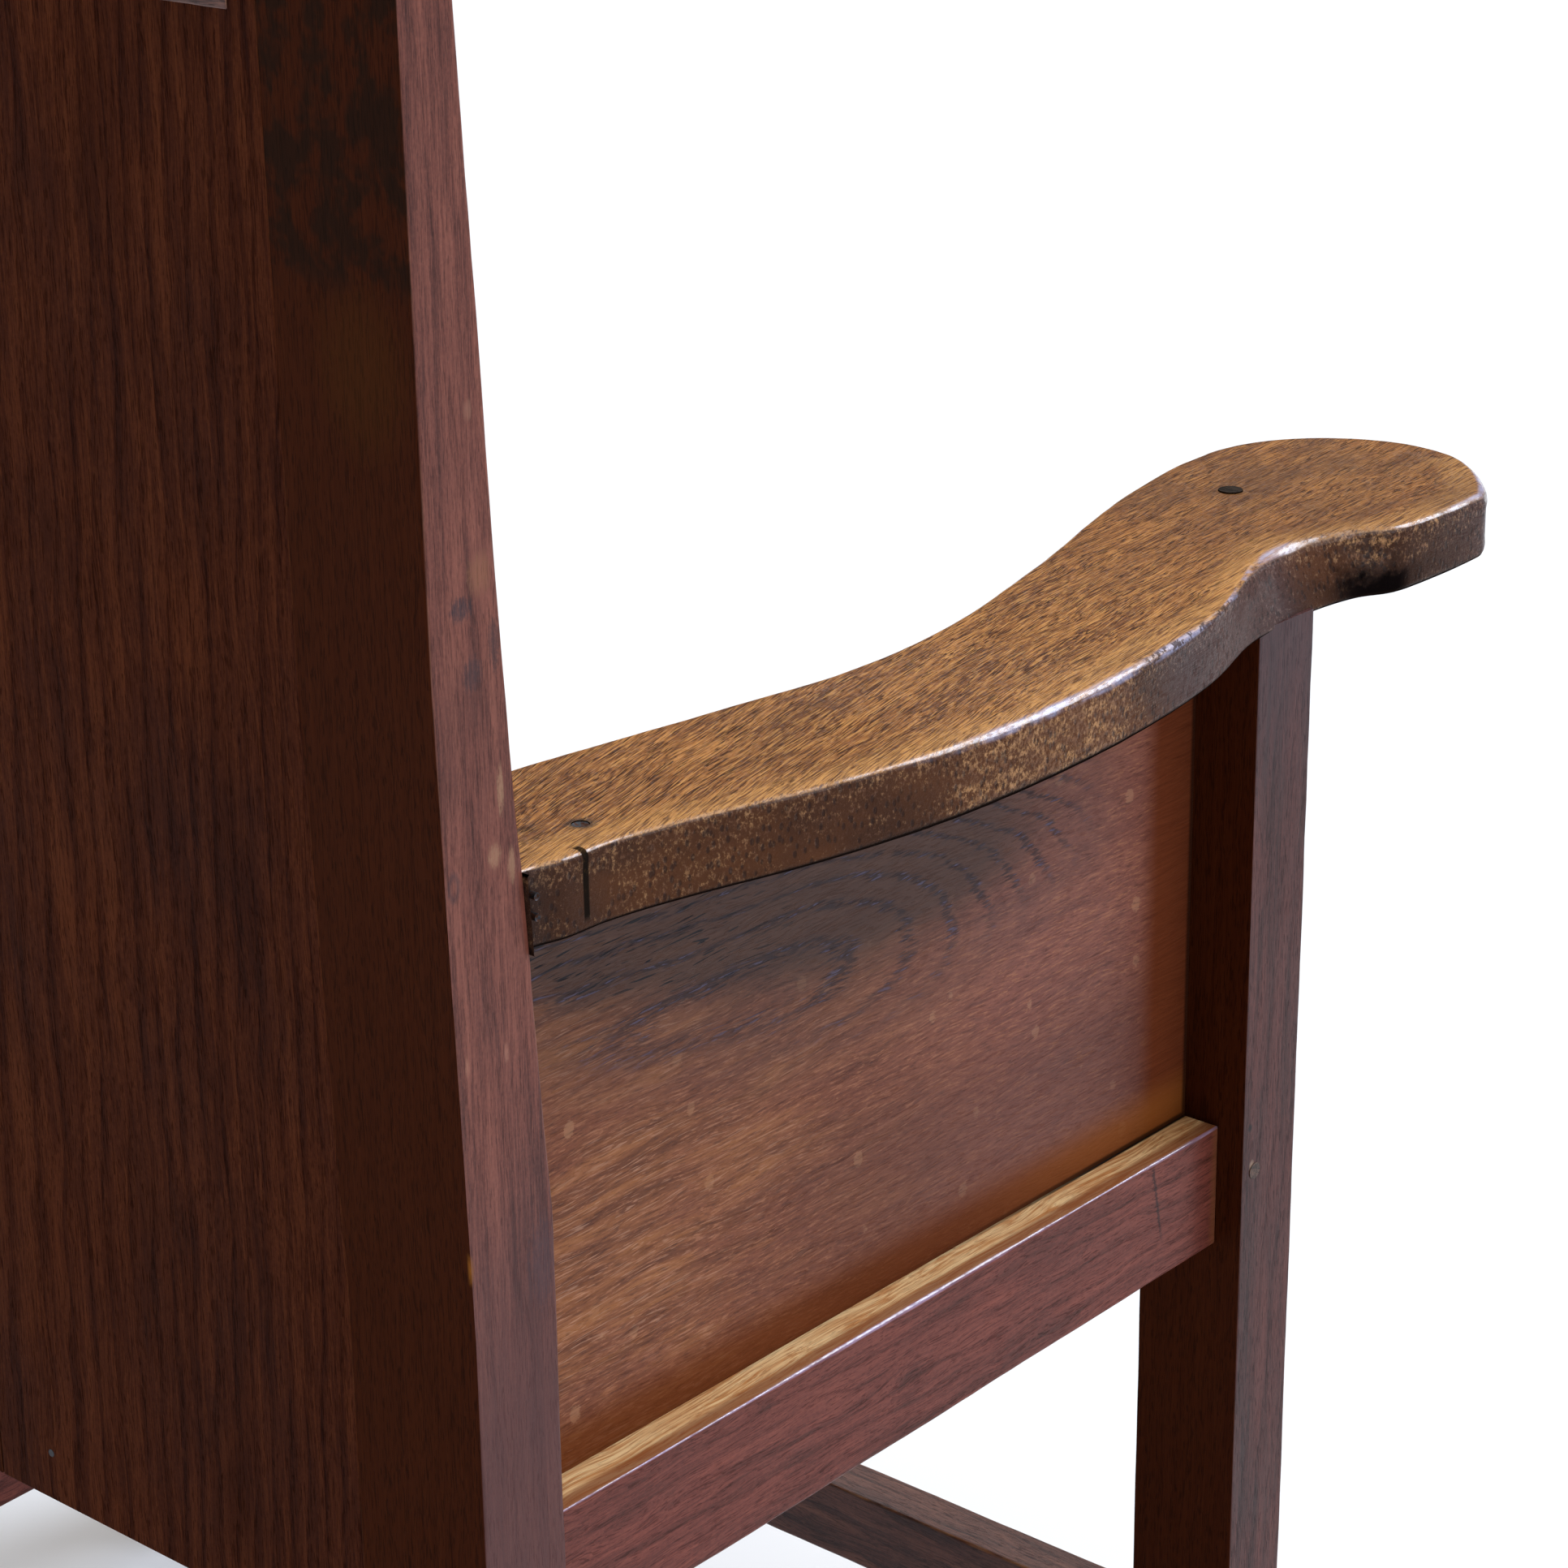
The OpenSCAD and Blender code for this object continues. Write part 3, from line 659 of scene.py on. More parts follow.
def rail_faces(t, made, at):
    """Bright golden top, partly painted light, and a painted mauve highlight on the arris, over purple-brown
    faces.
    """
    # painted light in part: the top is worn golden oak, painted far brighter than the faces to stand in for
    # the light falling on it
    up = t.mul(t.remap(at.n[2], 0.55, 0.85), t.remap(at.z, rail_top - 0.02, rail_top - 0.01))
    top = t.mix(t.remap(at.streak, 0.35, 0.65), (0.60, 0.26, 0.085), (0.95, 0.66, 0.33))
    top = t.over(top, (0.20, 0.06, 0.02), at.dash, 0.3)
    outer_red = t.remap(t.size(at.x), rail_out - 0.0085, rail_out - 0.0050)
    top = t.over(top, (0.24, 0.065, 0.020), outer_red, 0.8)
    gap = t.remap(t.size(at.x), panel_high.x + 0.0014, panel_high.x + 0.0005)
    open_gap = t.behind(at.y, 0.20, 0.05, 0.15, 1.0)
    top = t.over(top, (0.015, 0.008, 0.005), gap, open_gap)
    colour = t.mix(up, made.colour, top)
    # painted highlight: a mauve sheen along the top arris
    lilac_highlight = t.mul(at.arris, t.remap(at.n[2], 0.15, 0.4))
    colour = t.over(colour, (0.36, 0.25, 0.42), lilac_highlight, t.fma(at.rub, 0.5, 0.3))
    end = t.mul(t.behind(at.y, 0.0065, 0.0015), t.remap(at.nx, 0.5, 0.8))
    colour = t.over(colour, (0.22, 0.075, 0.028), end, 0.6)
    check = t.fma(t.sub(at.z, rail_top), 0.20, post_high.y + 0.0475)
    check = t.size(t.sub(t.fma(at.grit, 0.0030, at.y), check))
    check = t.mul(t.remap(check, 0.0011, 0.0004), t.remap(at.x, 0.0, -0.1))
    check = t.mul(check, t.remap(at.z, rail_top - 0.040, rail_top - 0.028))
    check = t.mul(check, t.remap(at.z, rail_top - 0.001, rail_top - 0.004))
    made.colour = t.over(colour, (0.020, 0.010, 0.010), check, 0.7)


def shade_rear_faces(t, made, at):
    """Very dark towards the back: painted shade on the faces turned that way, which also get less sheen and
    coat.
    """
    rear = t.remap(at.n[1], 0.35, 0.85)
    dark = t.mix(at.streak, (0.030, 0.0058, 0.0018), (0.072, 0.0165, 0.0048))
    dark = t.over(dark, (0.008, 0.003, 0.0015), at.dash, 0.5)
    made.colour = t.mix(rear, made.colour, dark)
    made.spec = t.fma(rear, -0.155, 0.16)
    made.coat = t.mul(made.coat, t.fma(rear, -0.85, 1.0))


def stile_faces(t, made, at):
    """Knots, rubs and a chip on the right-hand stile; a blackish patch high on its rear."""
    shade_rear_faces(t, made, at)
    right = t.remap(at.x, -0.10, -0.11)
    outer = t.mul(right, t.remap(at.nx, 0.5, 0.8))
    for y, z, half_y, half_z, colour, strength in ((0.0310, 0.090, 0.0042, 0.0036, (0.030, 0.020, 0.028),
            0.75), (0.0175, 0.076, 0.0022, 0.0080, (0.040, 0.020, 0.022), 0.65),
            (0.0270, 0.069, 0.0036, 0.0048, (0.045, 0.024, 0.028), 0.60),
            (0.0225, 0.099, 0.0045, 0.0060, (0.290, 0.120, 0.060), 0.50),
            (0.0245, 0.149, 0.0016, 0.0028, (0.300, 0.140, 0.090), 0.45),
            (0.0175, 0.030, 0.0014, 0.0075, (0.460, 0.260, 0.150), 0.55),
            (0.0210, 0.009, 0.0026, 0.0040, (0.420, 0.230, 0.130), 0.55),
            (0.0140, 0.004, 0.0015, 0.0050, (0.420, 0.230, 0.130), 0.55),
            (0.0190, -0.057, 0.0009, 0.0035, (0.400, 0.180, 0.120), 0.60),
            (0.0360, -0.056, 0.0009, 0.0035, (0.360, 0.160, 0.100), 0.60),
            (0.0060, -0.135, 0.0065, 0.0150, (0.060, 0.036, 0.048), 0.60)):
        spot = t.mul(t.mark(at, "y", (stile_low.y + y, arm_top + z), (half_y, half_z)), outer)
        made.colour = t.over(made.colour, colour, spot, strength)
    knot = (stile_low.y + 0.0385, arm_top + 0.0040)
    ring = t.sub(t.mark(at, "y", knot, (0.0026, 0.0048), 0.4), t.mark(at, "y", knot, (0.0014, 0.0030), 0.4))
    ring = t.most(ring, 0.0)
    made.colour = t.over(made.colour, (0.028, 0.018, 0.024), ring, outer, 0.8)
    chip = t.mul(t.mark(at, "y", (stile_low.y + 0.0400, arm_top - 0.1250), (0.0026, 0.0055), 1.0), right)
    chip = t.mul(chip, t.remap(at.x, 0.0022 - post_high.x, 0.0008 - post_high.x))
    made.colour = t.over(made.colour, (0.36, 0.13, 0.022), chip, 0.9)
    foot = t.mul(t.remap(at.z, arm_under - 0.04, rail_top + 0.04), t.remap(t.size(at.nx), 0.5, 0.8))
    made.colour = t.over(made.colour, (0.075, 0.026, 0.026), foot, 0.75)
    rear = t.mul(right, t.remap(at.n[1], 0.4, 0.8))
    patina = t.mark(at, "x", (0.022 - post_high.x, arm_top + 0.160), (0.018, 0.024), 2.0)
    made.colour = t.over(made.colour, (0.090, 0.034, 0.005), patina, rear, 0.22)
    # a blackish patch high on the rear face, ragged along its lower edge
    blotch_noise = t.noise(at.base, (0.012, 0.012, 0.016), detail=3.0, rough=0.65)
    dark_blotch = t.mul(t.remap(at.z, arm_top + 0.178, arm_top + 0.192), t.remap(blotch_noise, 0.42, 0.60))
    made.colour = t.over(made.colour, (0.012, 0.007, 0.004), dark_blotch, rear, 0.7)


def post_faces(t, made, at):
    """Greyer just under the arm; a small nail hole and a dab of filler on the right-hand post."""
    shade_rear_faces(t, made, at)
    outer = t.mul(t.remap(at.x, -0.10, -0.11), t.remap(at.nx, 0.5, 0.8))
    shade = t.mul(t.remap(at.z, arm_under - 0.09, arm_under - 0.01), t.remap(at.nx, 0.5, 0.8))
    made.colour = t.over(made.colour, (0.060, 0.038, 0.045), shade, 0.5)
    hole = t.mark(at, "y", (post_high.y - 0.0050, rail_top + 0.0005), (0.0015, 0.0017), 0.2)
    made.colour = t.over(made.colour, (0.008, 0.005, 0.005), hole, outer)
    dab = t.mark(at, "y", (post_high.y - 0.0070, rail_top - 0.0170), (0.0016, 0.0022), 0.6)
    made.colour = t.over(made.colour, (0.40, 0.27, 0.19), dab, outer, 0.7)


ARM = oak("oak_arm", "Y", (0.140, 0.043, 0.010), (0.300, 0.110, 0.024), (0.50, 0.215, 0.056), seed=3.0,
    pores=0.95, pore_size=(0.00045, 0.012), figure=0.2, ring=0.0065, pith=(0.10, 0.45), tilt=(0.02, 0.03),
    sway=0.003, pore_bands=0.03, pore_level=0.555, worn=(0.50, 0.22, 0.07), rough=0.40, coat=0.03,
    arris_coat=0.8, grime=0.35, streak_by=2.1, streak_size=(0.0008, 0.040), turn=(0.19, 0.22),
    extra=arm_faces)
PANEL = oak("oak_panel", "Y", (0.105, 0.027, 0.012), (0.215, 0.064, 0.032), (0.30, 0.105, 0.052), seed=7.0,
    pores=0.22, pore_size=(0.0005, 0.008), figure=0.16, ring=0.03,
    pith=(panel_high.x + 0.12, arm_under + 0.25), tilt=(0.03, 0.02),
    eye=(post_high.y + 0.250, arm_under - 0.066, 3.0, 0.23, 0.085, 15.0), sway=0.003, uneven_by=0.8,
    wear=0.3, dents=0.85, rough=0.36, spec=0.16, grime=0.2, worn=(0.40, 0.19, 0.10), extra=panel_faces)
POST = oak("oak_post", "Z", (0.030, 0.0078, 0.0068), (0.069, 0.018, 0.0150), (0.119, 0.034, 0.027),
    seed=11.0, pores=0.5, figure=0.3, sway=0.0015, wear=0.35, grime=0.3, worn=(0.22, 0.10, 0.06),
    extra=post_faces)
STILE = oak("oak_stile", "Z", (0.075, 0.019, 0.013), (0.170, 0.050, 0.034), (0.27, 0.090, 0.060), seed=15.0,
    pores=0.4, figure=0.2, sway=0.0015, mottle=0.35, wear=0.4, grime=0.35, worn=(0.36, 0.17, 0.10),
    extra=stile_faces)
# painted shade in part: the back boards are dark oak, made darker still to stand in for the shade on the
# chair's rear
BACK = oak("oak_back", "Z", (0.027, 0.0055, 0.0020), (0.060, 0.0135, 0.0045), (0.105, 0.027, 0.009),
    seed=19.0, pores=0.5, figure=0.4, ring=0.007, pith=(0.0, 0.50), sway=0.002, wear=0.2, rough=0.6,
    spec=0.03, coat=0.0, arris_coat=0.1, grime=0.3, worn=(0.16, 0.07, 0.035))
RAIL = oak("oak_rail", "Y", (0.07, 0.019, 0.012), (0.150, 0.038, 0.027), (0.24, 0.066, 0.045), seed=23.0,
    pores=0.4, figure=0.3, wear=0.7, rough=0.4, spec=0.16, coat=0.05, arris_coat=1.0, grime=0.25,
    worn=(0.48, 0.24, 0.11), extra=rail_faces)
CROSS = oak("oak_cross", "X", (0.05, 0.017, 0.010), (0.12, 0.042, 0.026), (0.20, 0.078, 0.046), seed=29.0,
    pores=0.5, figure=0.4, mottle=0.35, grime=0.35, worn=(0.42, 0.2, 0.09))
SEAT = oak("oak_seat", "X", (0.07, 0.025, 0.009), (0.18, 0.070, 0.024), (0.32, 0.14, 0.055), seed=31.0,
    pores=0.7, figure=0.55, ring=0.008, pith=(0.0, 0.30), rough=0.40, grime=0.3)
PEG = oak("oak_peg", "X", (0.04, 0.018, 0.010), (0.10, 0.05, 0.03), (0.18, 0.09, 0.055), seed=37.0,
    pores=0.8, mottle=0.5, wear=0.2, rough=0.5, arris_coat=0.1)
PLUG = oak("oak_plug", "X", (0.008, 0.005, 0.003), (0.024, 0.014, 0.008), (0.052, 0.030, 0.016), seed=41.0,
    pores=0.8, mottle=0.5, wear=0.0, rough=0.6, spec=0.08, coat=0.0, arris_coat=0.1)
IRON = metal("old_iron", (0.05, 0.052, 0.06), 0.38)


# -------- frame boards

stile_front, stile_rear = profile_y("rear_stile_left")

board_half = box("back_board_left")[1].x
for side, hand in ((1, "left"), (-1, "right")):
    def mirrored(a0, a1):
        return (a0, a1) if side > 0 else (-a1, -a0)

    x0, x1 = mirrored(post_low.x, post_high.x)
    board(f"front_post_{hand}_wood", f"front_post_{hand}", 2, (x0, x1, post_low.y, post_high.y),
        (0.0, post_top), 0.0013, 40 + side, POST, end_r=0.0003)
    x0, x1 = mirrored(stile_low.x, stile_high.x)
    board(f"rear_stile_{hand}_wood", f"rear_stile_{hand}", 2,
        lambda t: (x0, x1, stile_front(t), stile_rear(t)),
        (0.0, stile_high.z), 0.0015, 50 + side, STILE, wobble=0.4, tight=(arm_under, arm_top))
    for node, material, seed, radius in (("side_seat_rail", RAIL, 60, 0.0023),
            ("side_stretcher", RAIL, 70, 0.002)):
        low, high = box(f"{node}_{hand}")
        y0, y1 = post_high.y, stile_front(low.z)
        board(f"{node}_{hand}_wood", f"{node}_{hand}", 1, (low.x, high.x, low.z, high.z), (y0, y1), radius,
            seed + side, material)
    low, high = box(f"arm_panel_{hand}")
    board(f"arm_panel_{hand}_wood", f"arm_panel_{hand}", 1, (low.x, high.x, low.z, high.z), (low.y, high.y),
        0.0008, 80 + side, PANEL)

for node, material, seed in (("front_seat_rail", CROSS, 90), ("rear_seat_rail", CROSS, 92),
        ("front_stretcher", CROSS, 94), ("rear_stretcher", CROSS, 96)):
    low, high = box(node)
    inner = post_low.x if node.startswith("front") else stile_low.x
    board(f"{node}_wood", node, 0, (low.y, high.y, low.z, high.z), (-inner, inner), 0.002, seed, material)

low, high = box("seat_bearer")
board("seat_bearer_wood", "seat_bearer", 1, (low.x, high.x, low.z, high.z), (low.y + 0.012, high.y - 0.012),
    0.0015, 98, RAIL)

for k, part in enumerate(("front", "middle", "rear")):
    low, high = box(f"seat_board_{part}")
    gap = 0.0006
    notch = {"front": post_low.x, "middle": FAR, "rear": stile_low.x}[part]
    whole = (low.y + gap, high.y - gap, low.z, high.z)
    cut = (post_high.y if part == "front" else whole[0], stile_front(low.z) if part == "rear" else whole[1],
        low.z, high.z)
    board(f"seat_board_{part}_wood", f"seat_board_{part}", 0,
        lambda t: cut if abs(t) > notch else whole,
        (-high.x, high.x), 0.002, 100 + k, SEAT, breaks=() if part == "middle" else (-notch, notch))

for k, part in enumerate(("left", "middle", "right")):
    low, high = box(f"back_board_{part}")
    x0, x1 = (-board_half / 3, board_half / 3) if part == "middle" else (low.x, high.x)
    t_board = 0.012
    gap = 0.0002
    reach = 0.005
    tongues = [(x - reach, x + reach) for x in (x0, x1)] if part == "middle" else ()
    board(f"back_board_{part}_wood", f"back_board_{part}", 2,
        lambda t: (x0 + gap, x1 - gap, stile_rear(t) - t_board, stile_rear(t)),
        (low.z, high.z), 0.0009, 110 + k, BACK, wobble=0.25, skin=0.0001, tongues=tongues)

low, high = box("back_top_rail")
board("back_top_rail_wood", "back_top_rail", 0,
    (stile_rear(high.z) - 0.020, stile_rear(high.z), low.z, high.z), (-stile_low.x, stile_low.x),
    (0.0015, 0.0015, 0.003, 0.003), 120, CROSS)


# -------- arms

def arm_outline(hand):
    """Plan outline of an arm, from its outer rear corner round the front to its inner rear corner.

    x counts outwards for both hands; the points come from a level cut through the CAD arm.
    """
    bm = bmesh.new()
    bm.from_mesh(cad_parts[f"arm_{hand}"].data)
    bmesh.ops.remove_doubles(bm, verts=bm.verts, dist=1e-6)
    cut = bmesh.ops.bisect_plane(bm, geom=bm.verts[:] + bm.edges[:] + bm.faces[:],
        plane_co=(0, 0, arm_top - 0.005), plane_no=(0, 0, 1), clear_inner=True, clear_outer=True)["geom_cut"]
    links = {}
    for e in (g for g in cut if isinstance(g, bmesh.types.BMEdge)):
        for a, b in (e.verts, tuple(reversed(e.verts))):
            links.setdefault(a, []).append(b)
    loops = []
    left = set(links)
    while left:
        here = left.pop()
        loop = [here]
        while True:
            ahead = [v for v in links[here] if v in left]
            if not ahead:
                break
            here = ahead[0]
            left.discard(here)
            loop.append(here)
        loops.append([Vector((abs(v.co.x), v.co.y)) for v in loop])
    bm.free()
    loop = max(loops, key=lambda pts: max(p.y for p in pts) - min(p.y for p in pts))
    rear = max(p.y for p in loop)
    corner = max((p for p in loop if p.y > rear - 1e-4), key=lambda p: p.x)
    start = loop.index(corner)
    loop = loop[start:] + loop[:start]
    if loop[1].y > rear - 1e-4:
        loop = [loop[0]] + loop[:0:-1]
    return loop


def even_points(points, step):
    """Points at an even spacing along a line, with their distance from its start."""
    run = [0.0]
    for a, b in zip(points, points[1:]):
        run.append(run[-1] + (b - a).length)
    count = round(run[-1] / step)
    made, k = [], 0
    for i in range(count + 1):
        s = run[-1] * i / count
        while k < len(run) - 2 and run[k + 1] < s:
            k += 1
        made.append(points[k].lerp(points[k + 1], (s - run[k]) / max(1e-9, run[k + 1] - run[k])))
    return made


def cutter_box(low, high):
    bm = bmesh.new()
    bmesh.ops.create_cube(bm, size=1.0)
    size = Vector(high) - Vector(low)
    bmesh.ops.transform(bm,
        matrix=Matrix.Translation((Vector(high) + Vector(low)) / 2) @ Matrix.Diagonal((*size, 1)),
        verts=bm.verts)
    return bm


def cutter_rod(start, direction, length, radius, steps=20):
    bm = bmesh.new()
    bmesh.ops.create_cone(bm, cap_ends=True, segments=steps, radius1=radius, radius2=radius, depth=length)
    turn = Vector((0, 0, 1)).rotation_difference(Vector(direction)).to_matrix().to_4x4()
    place = Matrix.Translation(Vector(start) + Vector(direction).normalized() * length / 2)
    bmesh.ops.transform(bm, matrix=place @ turn, verts=bm.verts)
    return bm


def carved(bm, cutters):
    """The body less its cutters, as a new bmesh."""
    body = placed("body", as_mesh("body", bm))
    tools = [placed("tool", as_mesh("tool", c)) for c in cutters]
    for tool in tools:
        mod = body.modifiers.new("cut", "BOOLEAN")
        mod.operation = "DIFFERENCE"
        mod.solver = "EXACT"
        mod.object = tool
    bpy.context.view_layer.update()
    done = bmesh.new()
    done.from_mesh(body.evaluated_get(bpy.context.evaluated_depsgraph_get()).to_mesh())
    for gone in tools + [body]:
        bpy.data.meshes.remove(gone.data)
    return done


def arm(hand):
    side = 1 if hand == "left" else -1
    seed = 200 if hand == "left" else 230
    rear_y = stile_front(arm_top - 0.005)
    raw = [p for p in arm_outline(hand) if not (rear_y - 0.037 < p.y < rear_y - 0.014 and p.x > post_high.x
        - 0.004 and p.x < post_high.x + 0.0015)]
    points = even_points(raw, ARM_SPACING)
    waist_y = (post_low.y + post_high.y) / 2 - 0.012
    tip_y = min(p.y for p in points)
    rings = []
    count = len(points)
    for i, p in enumerate(points):
        a, b = points[max(0, i - 2)], points[min(count - 1, i + 2)]
        along = (b - a).normalized()
        out = Vector((-along.y, along.x))
        if i < 3 or i > count - 4:
            out = Vector((1 if i < 3 else -1, 0))
        s = i * ARM_SPACING
        outer = out.x > 0.2
        front = smooth01(waist_y - 0.02, tip_y + 0.02, p.y)
        bow = math.exp(-((p.y - (post_high.y + 0.175)) / 0.09) ** 2) if outer else 0.0
        waist = math.exp(-((p.y - waist_y) / 0.036) ** 2) if outer and p.x > post_low.x - 0.01 else 0.0
        rough = 1 + 0.22 * wander(seed, 18 * s) + 0.12 * wander(seed + 1, 70 * s) + 0.06 * wander(seed + 2,
            240 * s)
        inward = smooth01(0.1, -0.5, 0.64 * out.x + 0.77 * out.y)
        r_top = (0.0027 + 0.0031 * front * (1 - 0.8 * inward) + 0.0024 * bow + 0.0016 * waist) * rough
        r_low = (0.0028 + 0.0014 * front + 0.0030 * bow) * (1 + 0.12 * wander(seed + 3, 12 * s)
            + 0.05 * wander(seed + 4, 80 * s))
        flare = 0.0105 * waist
        on_post = smooth01(0.012, 0.0, max(post_low.y - p.y, p.y - post_high.y)) if outer else 0.0
        r_low += (0.003 - r_low) * on_post
        butt = smooth01(0.0, 0.006, rear_y - p.y)
        r_top, r_low = 0.0012 + (r_top - 0.0012) * butt, 0.0006 + (r_low - 0.0006) * butt
        if outer and i < count * 0.2:
            p = p - Vector((0.0037 * (1 - smooth01(0.0, 0.020, rear_y - p.y)), 0))
        ring = []    # (inset, z) from the arm's underside to the edge of its top
        for k in range(6):
            ang = math.radians(90 * k / 5)
            ring.append((r_low * (1 - math.sin(ang)), arm_under + r_low * (1 - math.cos(ang))))
        for k in range(1, 6):
            z = arm_under + r_low + (arm_top - r_top - arm_under - r_low) * k / 6
            ring.append((0.00025 * (1 + wander(seed + 5, 30 * s, 60 * z)), z))
        for k in range(7):
            ang = math.radians(90 * k / 6)
            ring.append((r_top * (1 - math.cos(ang)), arm_top - ARM_DIP - r_top * (1 - math.sin(ang))))
        rings.append([(p - out * (inset + flare * max(0.0, (z - arm_under) / (arm_top - arm_under)) ** 1.25),
            z) for inset, z in ring])
    bm = bmesh.new()
    rim_layer = bm.verts.layers.float.new("rim")

    def vert(p, z):
        y = min(p.y, stile_front(z))
        return bm.verts.new((side * p.x, y, z))

    grid = [[vert(p, z) for p, z in ring] for ring in rings]
    for low, high in zip(grid, grid[1:]):
        for k in range(len(low) - 1):
            bm.faces.new((low[k], high[k], high[k + 1], low[k + 1]))
    bm.faces.new(grid[0] + list(reversed(grid[-1])))
    bm.faces.new([ring[0] for ring in grid])
    # top: a slightly uneven skin between the inner edges of the rounding
    rim = [ring[-1] for ring in grid]
    edge = [Vector((v.co.x, v.co.y)) for v in rim]
    outward = [side * (a.x - b.x) / 0.005 for a, b in ((grid[i][8].co, v.co) for i, v in enumerate(rim))]
    for v, n in zip(rim, outward):
        v[rim_layer] = 0.0 if n > 0.2 else 0.06
    xs, ys = [p.x for p in edge], [p.y for p in edge]
    inner = []
    pitch = 0.005
    for i in range(int((max(xs) - min(xs)) / pitch) + 1):
        for j in range(int((max(ys) - min(ys)) / pitch) + 1):
            q = Vector((min(xs) + pitch * (i + 0.5 * (j % 2)), min(ys) + pitch * j))
            crossings = 0
            near = FAR
            for a, b in zip(edge, edge[1:] + edge[:1]):
                near = min(near, (q - a).length_squared)
                if (a.y > q.y) != (b.y > q.y) and q.x < a.x + (b.x - a.x) * (q.y - a.y) / (b.y - a.y):
                    crossings += 1
            if crossings % 2 and near > 0.0035 ** 2:
                inner.append(q)
    count_rim = len(edge)
    plan, _, faces, *_ = delaunay_2d_cdt(edge + inner, [], [list(range(count_rim))], 1, 1e-7)
    skin = []
    for k, q in enumerate(plan):
        if k < count_rim:
            skin.append(rim[k])
            continue
        near = min((q - e).length for e in edge)
        sink = 0.00045 + 0.00035 * wander(seed + 6, 14 * q.x, 9 * q.y) + 0.00015 * wander(seed + 7, 60 * q.x,
            20 * q.y)
        skin.append(bm.verts.new((q.x, q.y, arm_top - ARM_DIP - sink * smooth01(0, 0.012, near))))
        outer_near = min((q - e).length for e, n in zip(edge, outward) if n > 0.2)
        skin[-1][rim_layer] = outer_near
    for f in faces:
        if len(set(f)) > 2:
            try:
                bm.faces.new([skin[k] for k in f])
            except ValueError:
                pass
    bmesh.ops.recalc_face_normals(bm, faces=bm.faces)
    cuts = [saw_cut(side, kerf_y)]
    for low, high in islands("arm_plugs"):
        if (low.x > 0) == (side > 0):
            c = (low + high) / 2
            cuts.append(cutter_rod((c.x, c.y, arm_top - 0.003), (0, 0, 1), 0.01, (high.x - low.x) / 2
                + 0.0002, 32))
    for place, towards, upright in nail_heads(side):
        radius = 0.0031 if upright else 0.0021
        cuts.append(cutter_rod(place - towards * 0.003, towards, 0.01, radius))
    return bm, cuts


def saw_cut(side, y):
    """Wedge left by a slip of the saw across the arm's outer edge, wider and deeper at the top."""
    bm = cutter_box((0.0, -0.5, 0.0), (1.0, 0.5, 1.0))
    for v in bm.verts:
        high = v.co.z > 0.5
        half = (0.0011 if high else 0.0005) * (1 if v.co.y > 0 else -1)
        depth = 0.0030 if high else 0.0018
        face = post_high.x + 0.0013
        x = face + 0.004 if v.co.x > 0.5 else face - depth
        v.co = Vector((side * x, y + half, arm_top + 0.001 if high else arm_under + 0.0045))
    bmesh.ops.recalc_face_normals(bm, faces=bm.faces)
    return bm


def nail_heads(side):
    """Place and outward direction of each nail head in one arm, and whether it stands in the arm's top."""
    found = []
    for low, high in islands("arm_nails"):
        if (low.x > 0) == (side > 0):
            c = (low + high) / 2
            if high.z > arm_top - 0.001:
                found.append((Vector((c.x, c.y, arm_top - 0.0006)), Vector((0, 0, 1)), True))
            else:
                reach = max(abs(low.x), abs(high.x))
                found.append((Vector((side * reach, low.y + 0.0015, c.z)), Vector((side, 0, 0)), False))
    return found


for hand in ("left", "right"):
    bm, cuts = arm(hand)
    new_piece(f"arm_{hand}_wood", carved(bm, cuts), ARM, f"arm_{hand}")

iron = bmesh.new()
for side in (1, -1):
    for place, towards, upright in nail_heads(side):
        radius, sunk = (0.0029, 0.0005) if upright else (0.0013, 0.0022)
        head = cutter_rod(place - towards * (0.006 + sunk), towards, 0.006, radius, 16)
        top = [v for v in head.verts if (v.co - place).dot(towards) > -0.004]
        bmesh.ops.inset_region(head, faces=[f for f in head.faces if all(v in top for v in f.verts)],
            thickness=radius * 0.45, depth=0.0)
        for v in top:
            v.co -= towards * 0.0005
        bmesh.ops.recalc_face_normals(head, faces=head.faces)
        mesh = as_mesh("head", head)
        iron.from_mesh(mesh)
        bpy.data.meshes.remove(mesh)
new_piece("arm_nails_iron", iron, IRON, "arm_nails", smooth=False)


# -------- CAD nodes that keep their shape

for node, material in (("side_rail_pegs", PEG), ("cross_rail_pegs", PEG), ("stretcher_pegs", PEG),
        ("back_rail_pegs", PEG), ("arm_plugs", PLUG), ("seat_nails", IRON), ("back_nails", IRON)):
    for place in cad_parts[node].material_slots:
        place.material = material


# -------- floor, light and camera

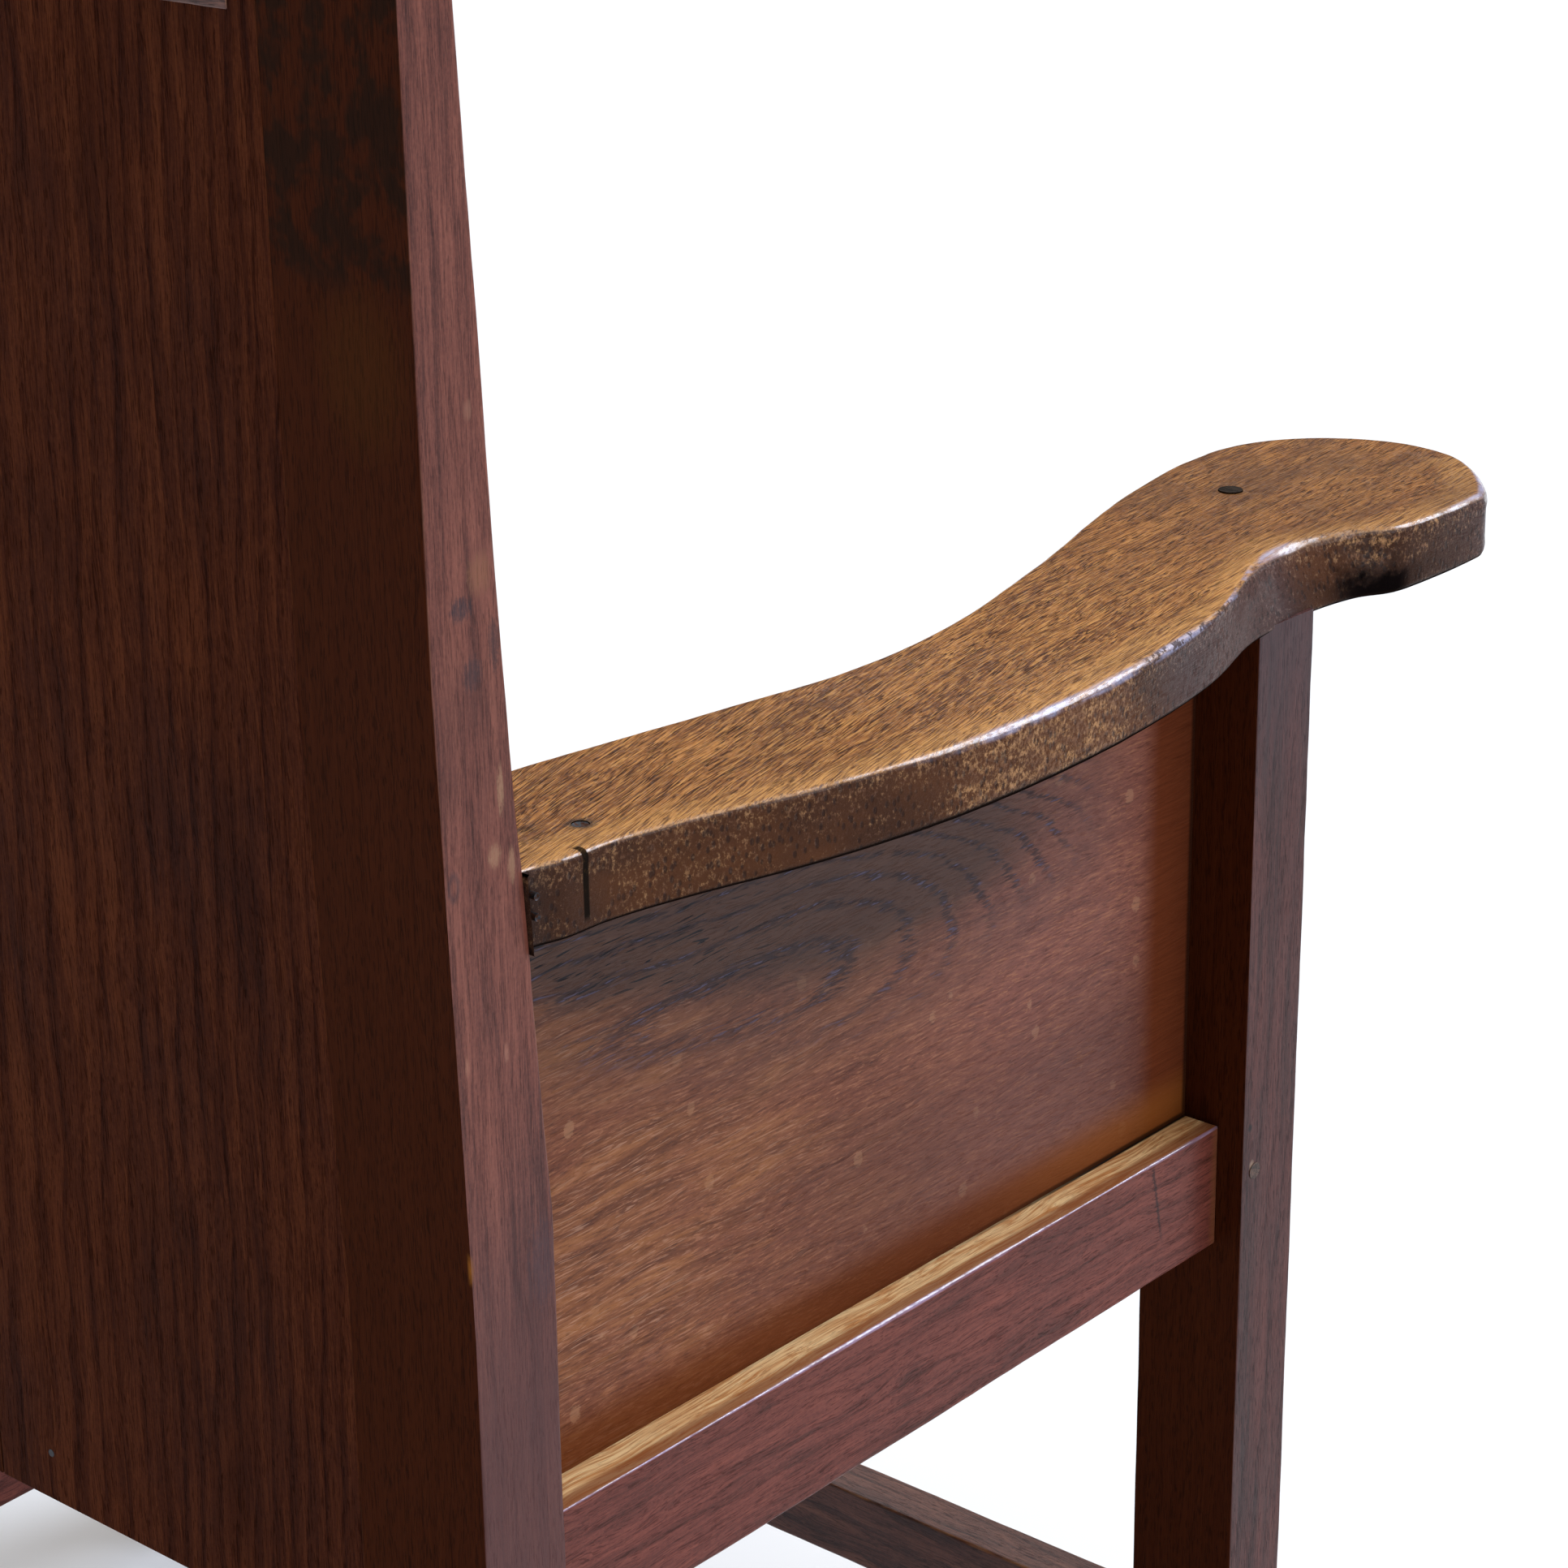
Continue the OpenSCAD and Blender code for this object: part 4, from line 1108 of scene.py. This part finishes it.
def studio(sky):
    """Pale floor, and a world that the camera sees as white."""
    t = Tree("studio_floor")
    place = t.node("TexCoord").outputs["Object"]
    haze = t.noise(place, (1.5, 1.5, 1.5))
    paper = t.mix(haze, (0.88, 0.88, 0.885), (0.92, 0.92, 0.92))
    bm = bmesh.new()
    bmesh.ops.create_grid(bm, x_segments=1, y_segments=1, size=60)
    floor = placed("studio_floor", as_mesh("studio_floor", bm))
    floor.data.materials.append(t.surface({"Base Color": paper, "Roughness": 0.85,
        "Specular IOR Level": 0.2}))

    world = bpy.data.worlds.new("studio")
    bpy.context.scene.world = world
    world.use_nodes = True
    nodes, links = world.node_tree.nodes, world.node_tree.links
    nodes["Background"].inputs[0].default_value = (0.86, 0.92, 1.0, 1)
    nodes["Background"].inputs[1].default_value = sky
    seen = nodes.new("ShaderNodeBackground")
    seen.inputs[0].default_value = (1.0, 1.0, 1.0, 1)
    choose = nodes.new("ShaderNodeMixShader")
    links.new(nodes.new("ShaderNodeLightPath").outputs["Is Camera Ray"], choose.inputs[0])
    links.new(nodes["Background"].outputs[0], choose.inputs[1])
    links.new(seen.outputs[0], choose.inputs[2])
    links.new(choose.outputs[0], nodes["World Output"].inputs[0])


def soft_sun(name, towards, strength, spread, tint):
    """Wide, even light that comes from a direction given as a vector towards it."""
    lamp = bpy.data.lights.new(name, "SUN")
    lamp.energy = strength
    lamp.angle = math.radians(spread)
    lamp.color = tint
    made = placed(name, lamp)
    made.rotation_euler = (-Vector(towards)).to_track_quat("-Z", "Y").to_euler()


studio(0.14)
soft_sun("window", (-0.30, -0.72, 0.62), 2.0, 30, (0.76, 0.85, 1.0))
soft_sun("ceiling", (0.15, -0.30, 1.0), 2.1, 100, (1.0, 0.985, 0.96))
soft_sun("side", (-0.75, 0.0, 0.66), 0.5, 60, (1.0, 0.96, 0.95))


def photo_camera():
    """Close three-quarter view from behind the right-hand side, down on the arm."""
    post = box("front_post_right")
    anchor = Vector((post[0].x, post[1].y, box("arm_right")[1].z))
    yaw, pitch, roll = (math.radians(a) for a in (39.889, 20.348, 0.351))
    ahead = Vector((math.sin(yaw) * math.cos(pitch), -math.cos(yaw) * math.cos(pitch), -math.sin(pitch)))
    right = Vector((-math.cos(yaw), -math.sin(yaw), 0))
    down = ahead.cross(right)
    if down.z > 0:
        down = -down
    right2 = math.cos(roll) * right + math.sin(roll) * down
    down2 = math.cos(roll) * down - math.sin(roll) * right
    data = bpy.data.cameras.new("photo_camera")
    data.sensor_width = 36.0
    data.lens = 87.8
    data.shift_x = -0.0419
    camera = placed("photo_camera", data)
    turn = Matrix((right2, -down2, -ahead)).transposed().to_4x4()
    from_anchor = Vector((-0.7758, 1.1751, 0.4326))
    camera.matrix_world = Matrix.Translation(anchor + from_anchor) @ turn
    bpy.context.scene.camera = camera


photo_camera()
bpy.context.scene.view_settings.view_transform = "Standard"
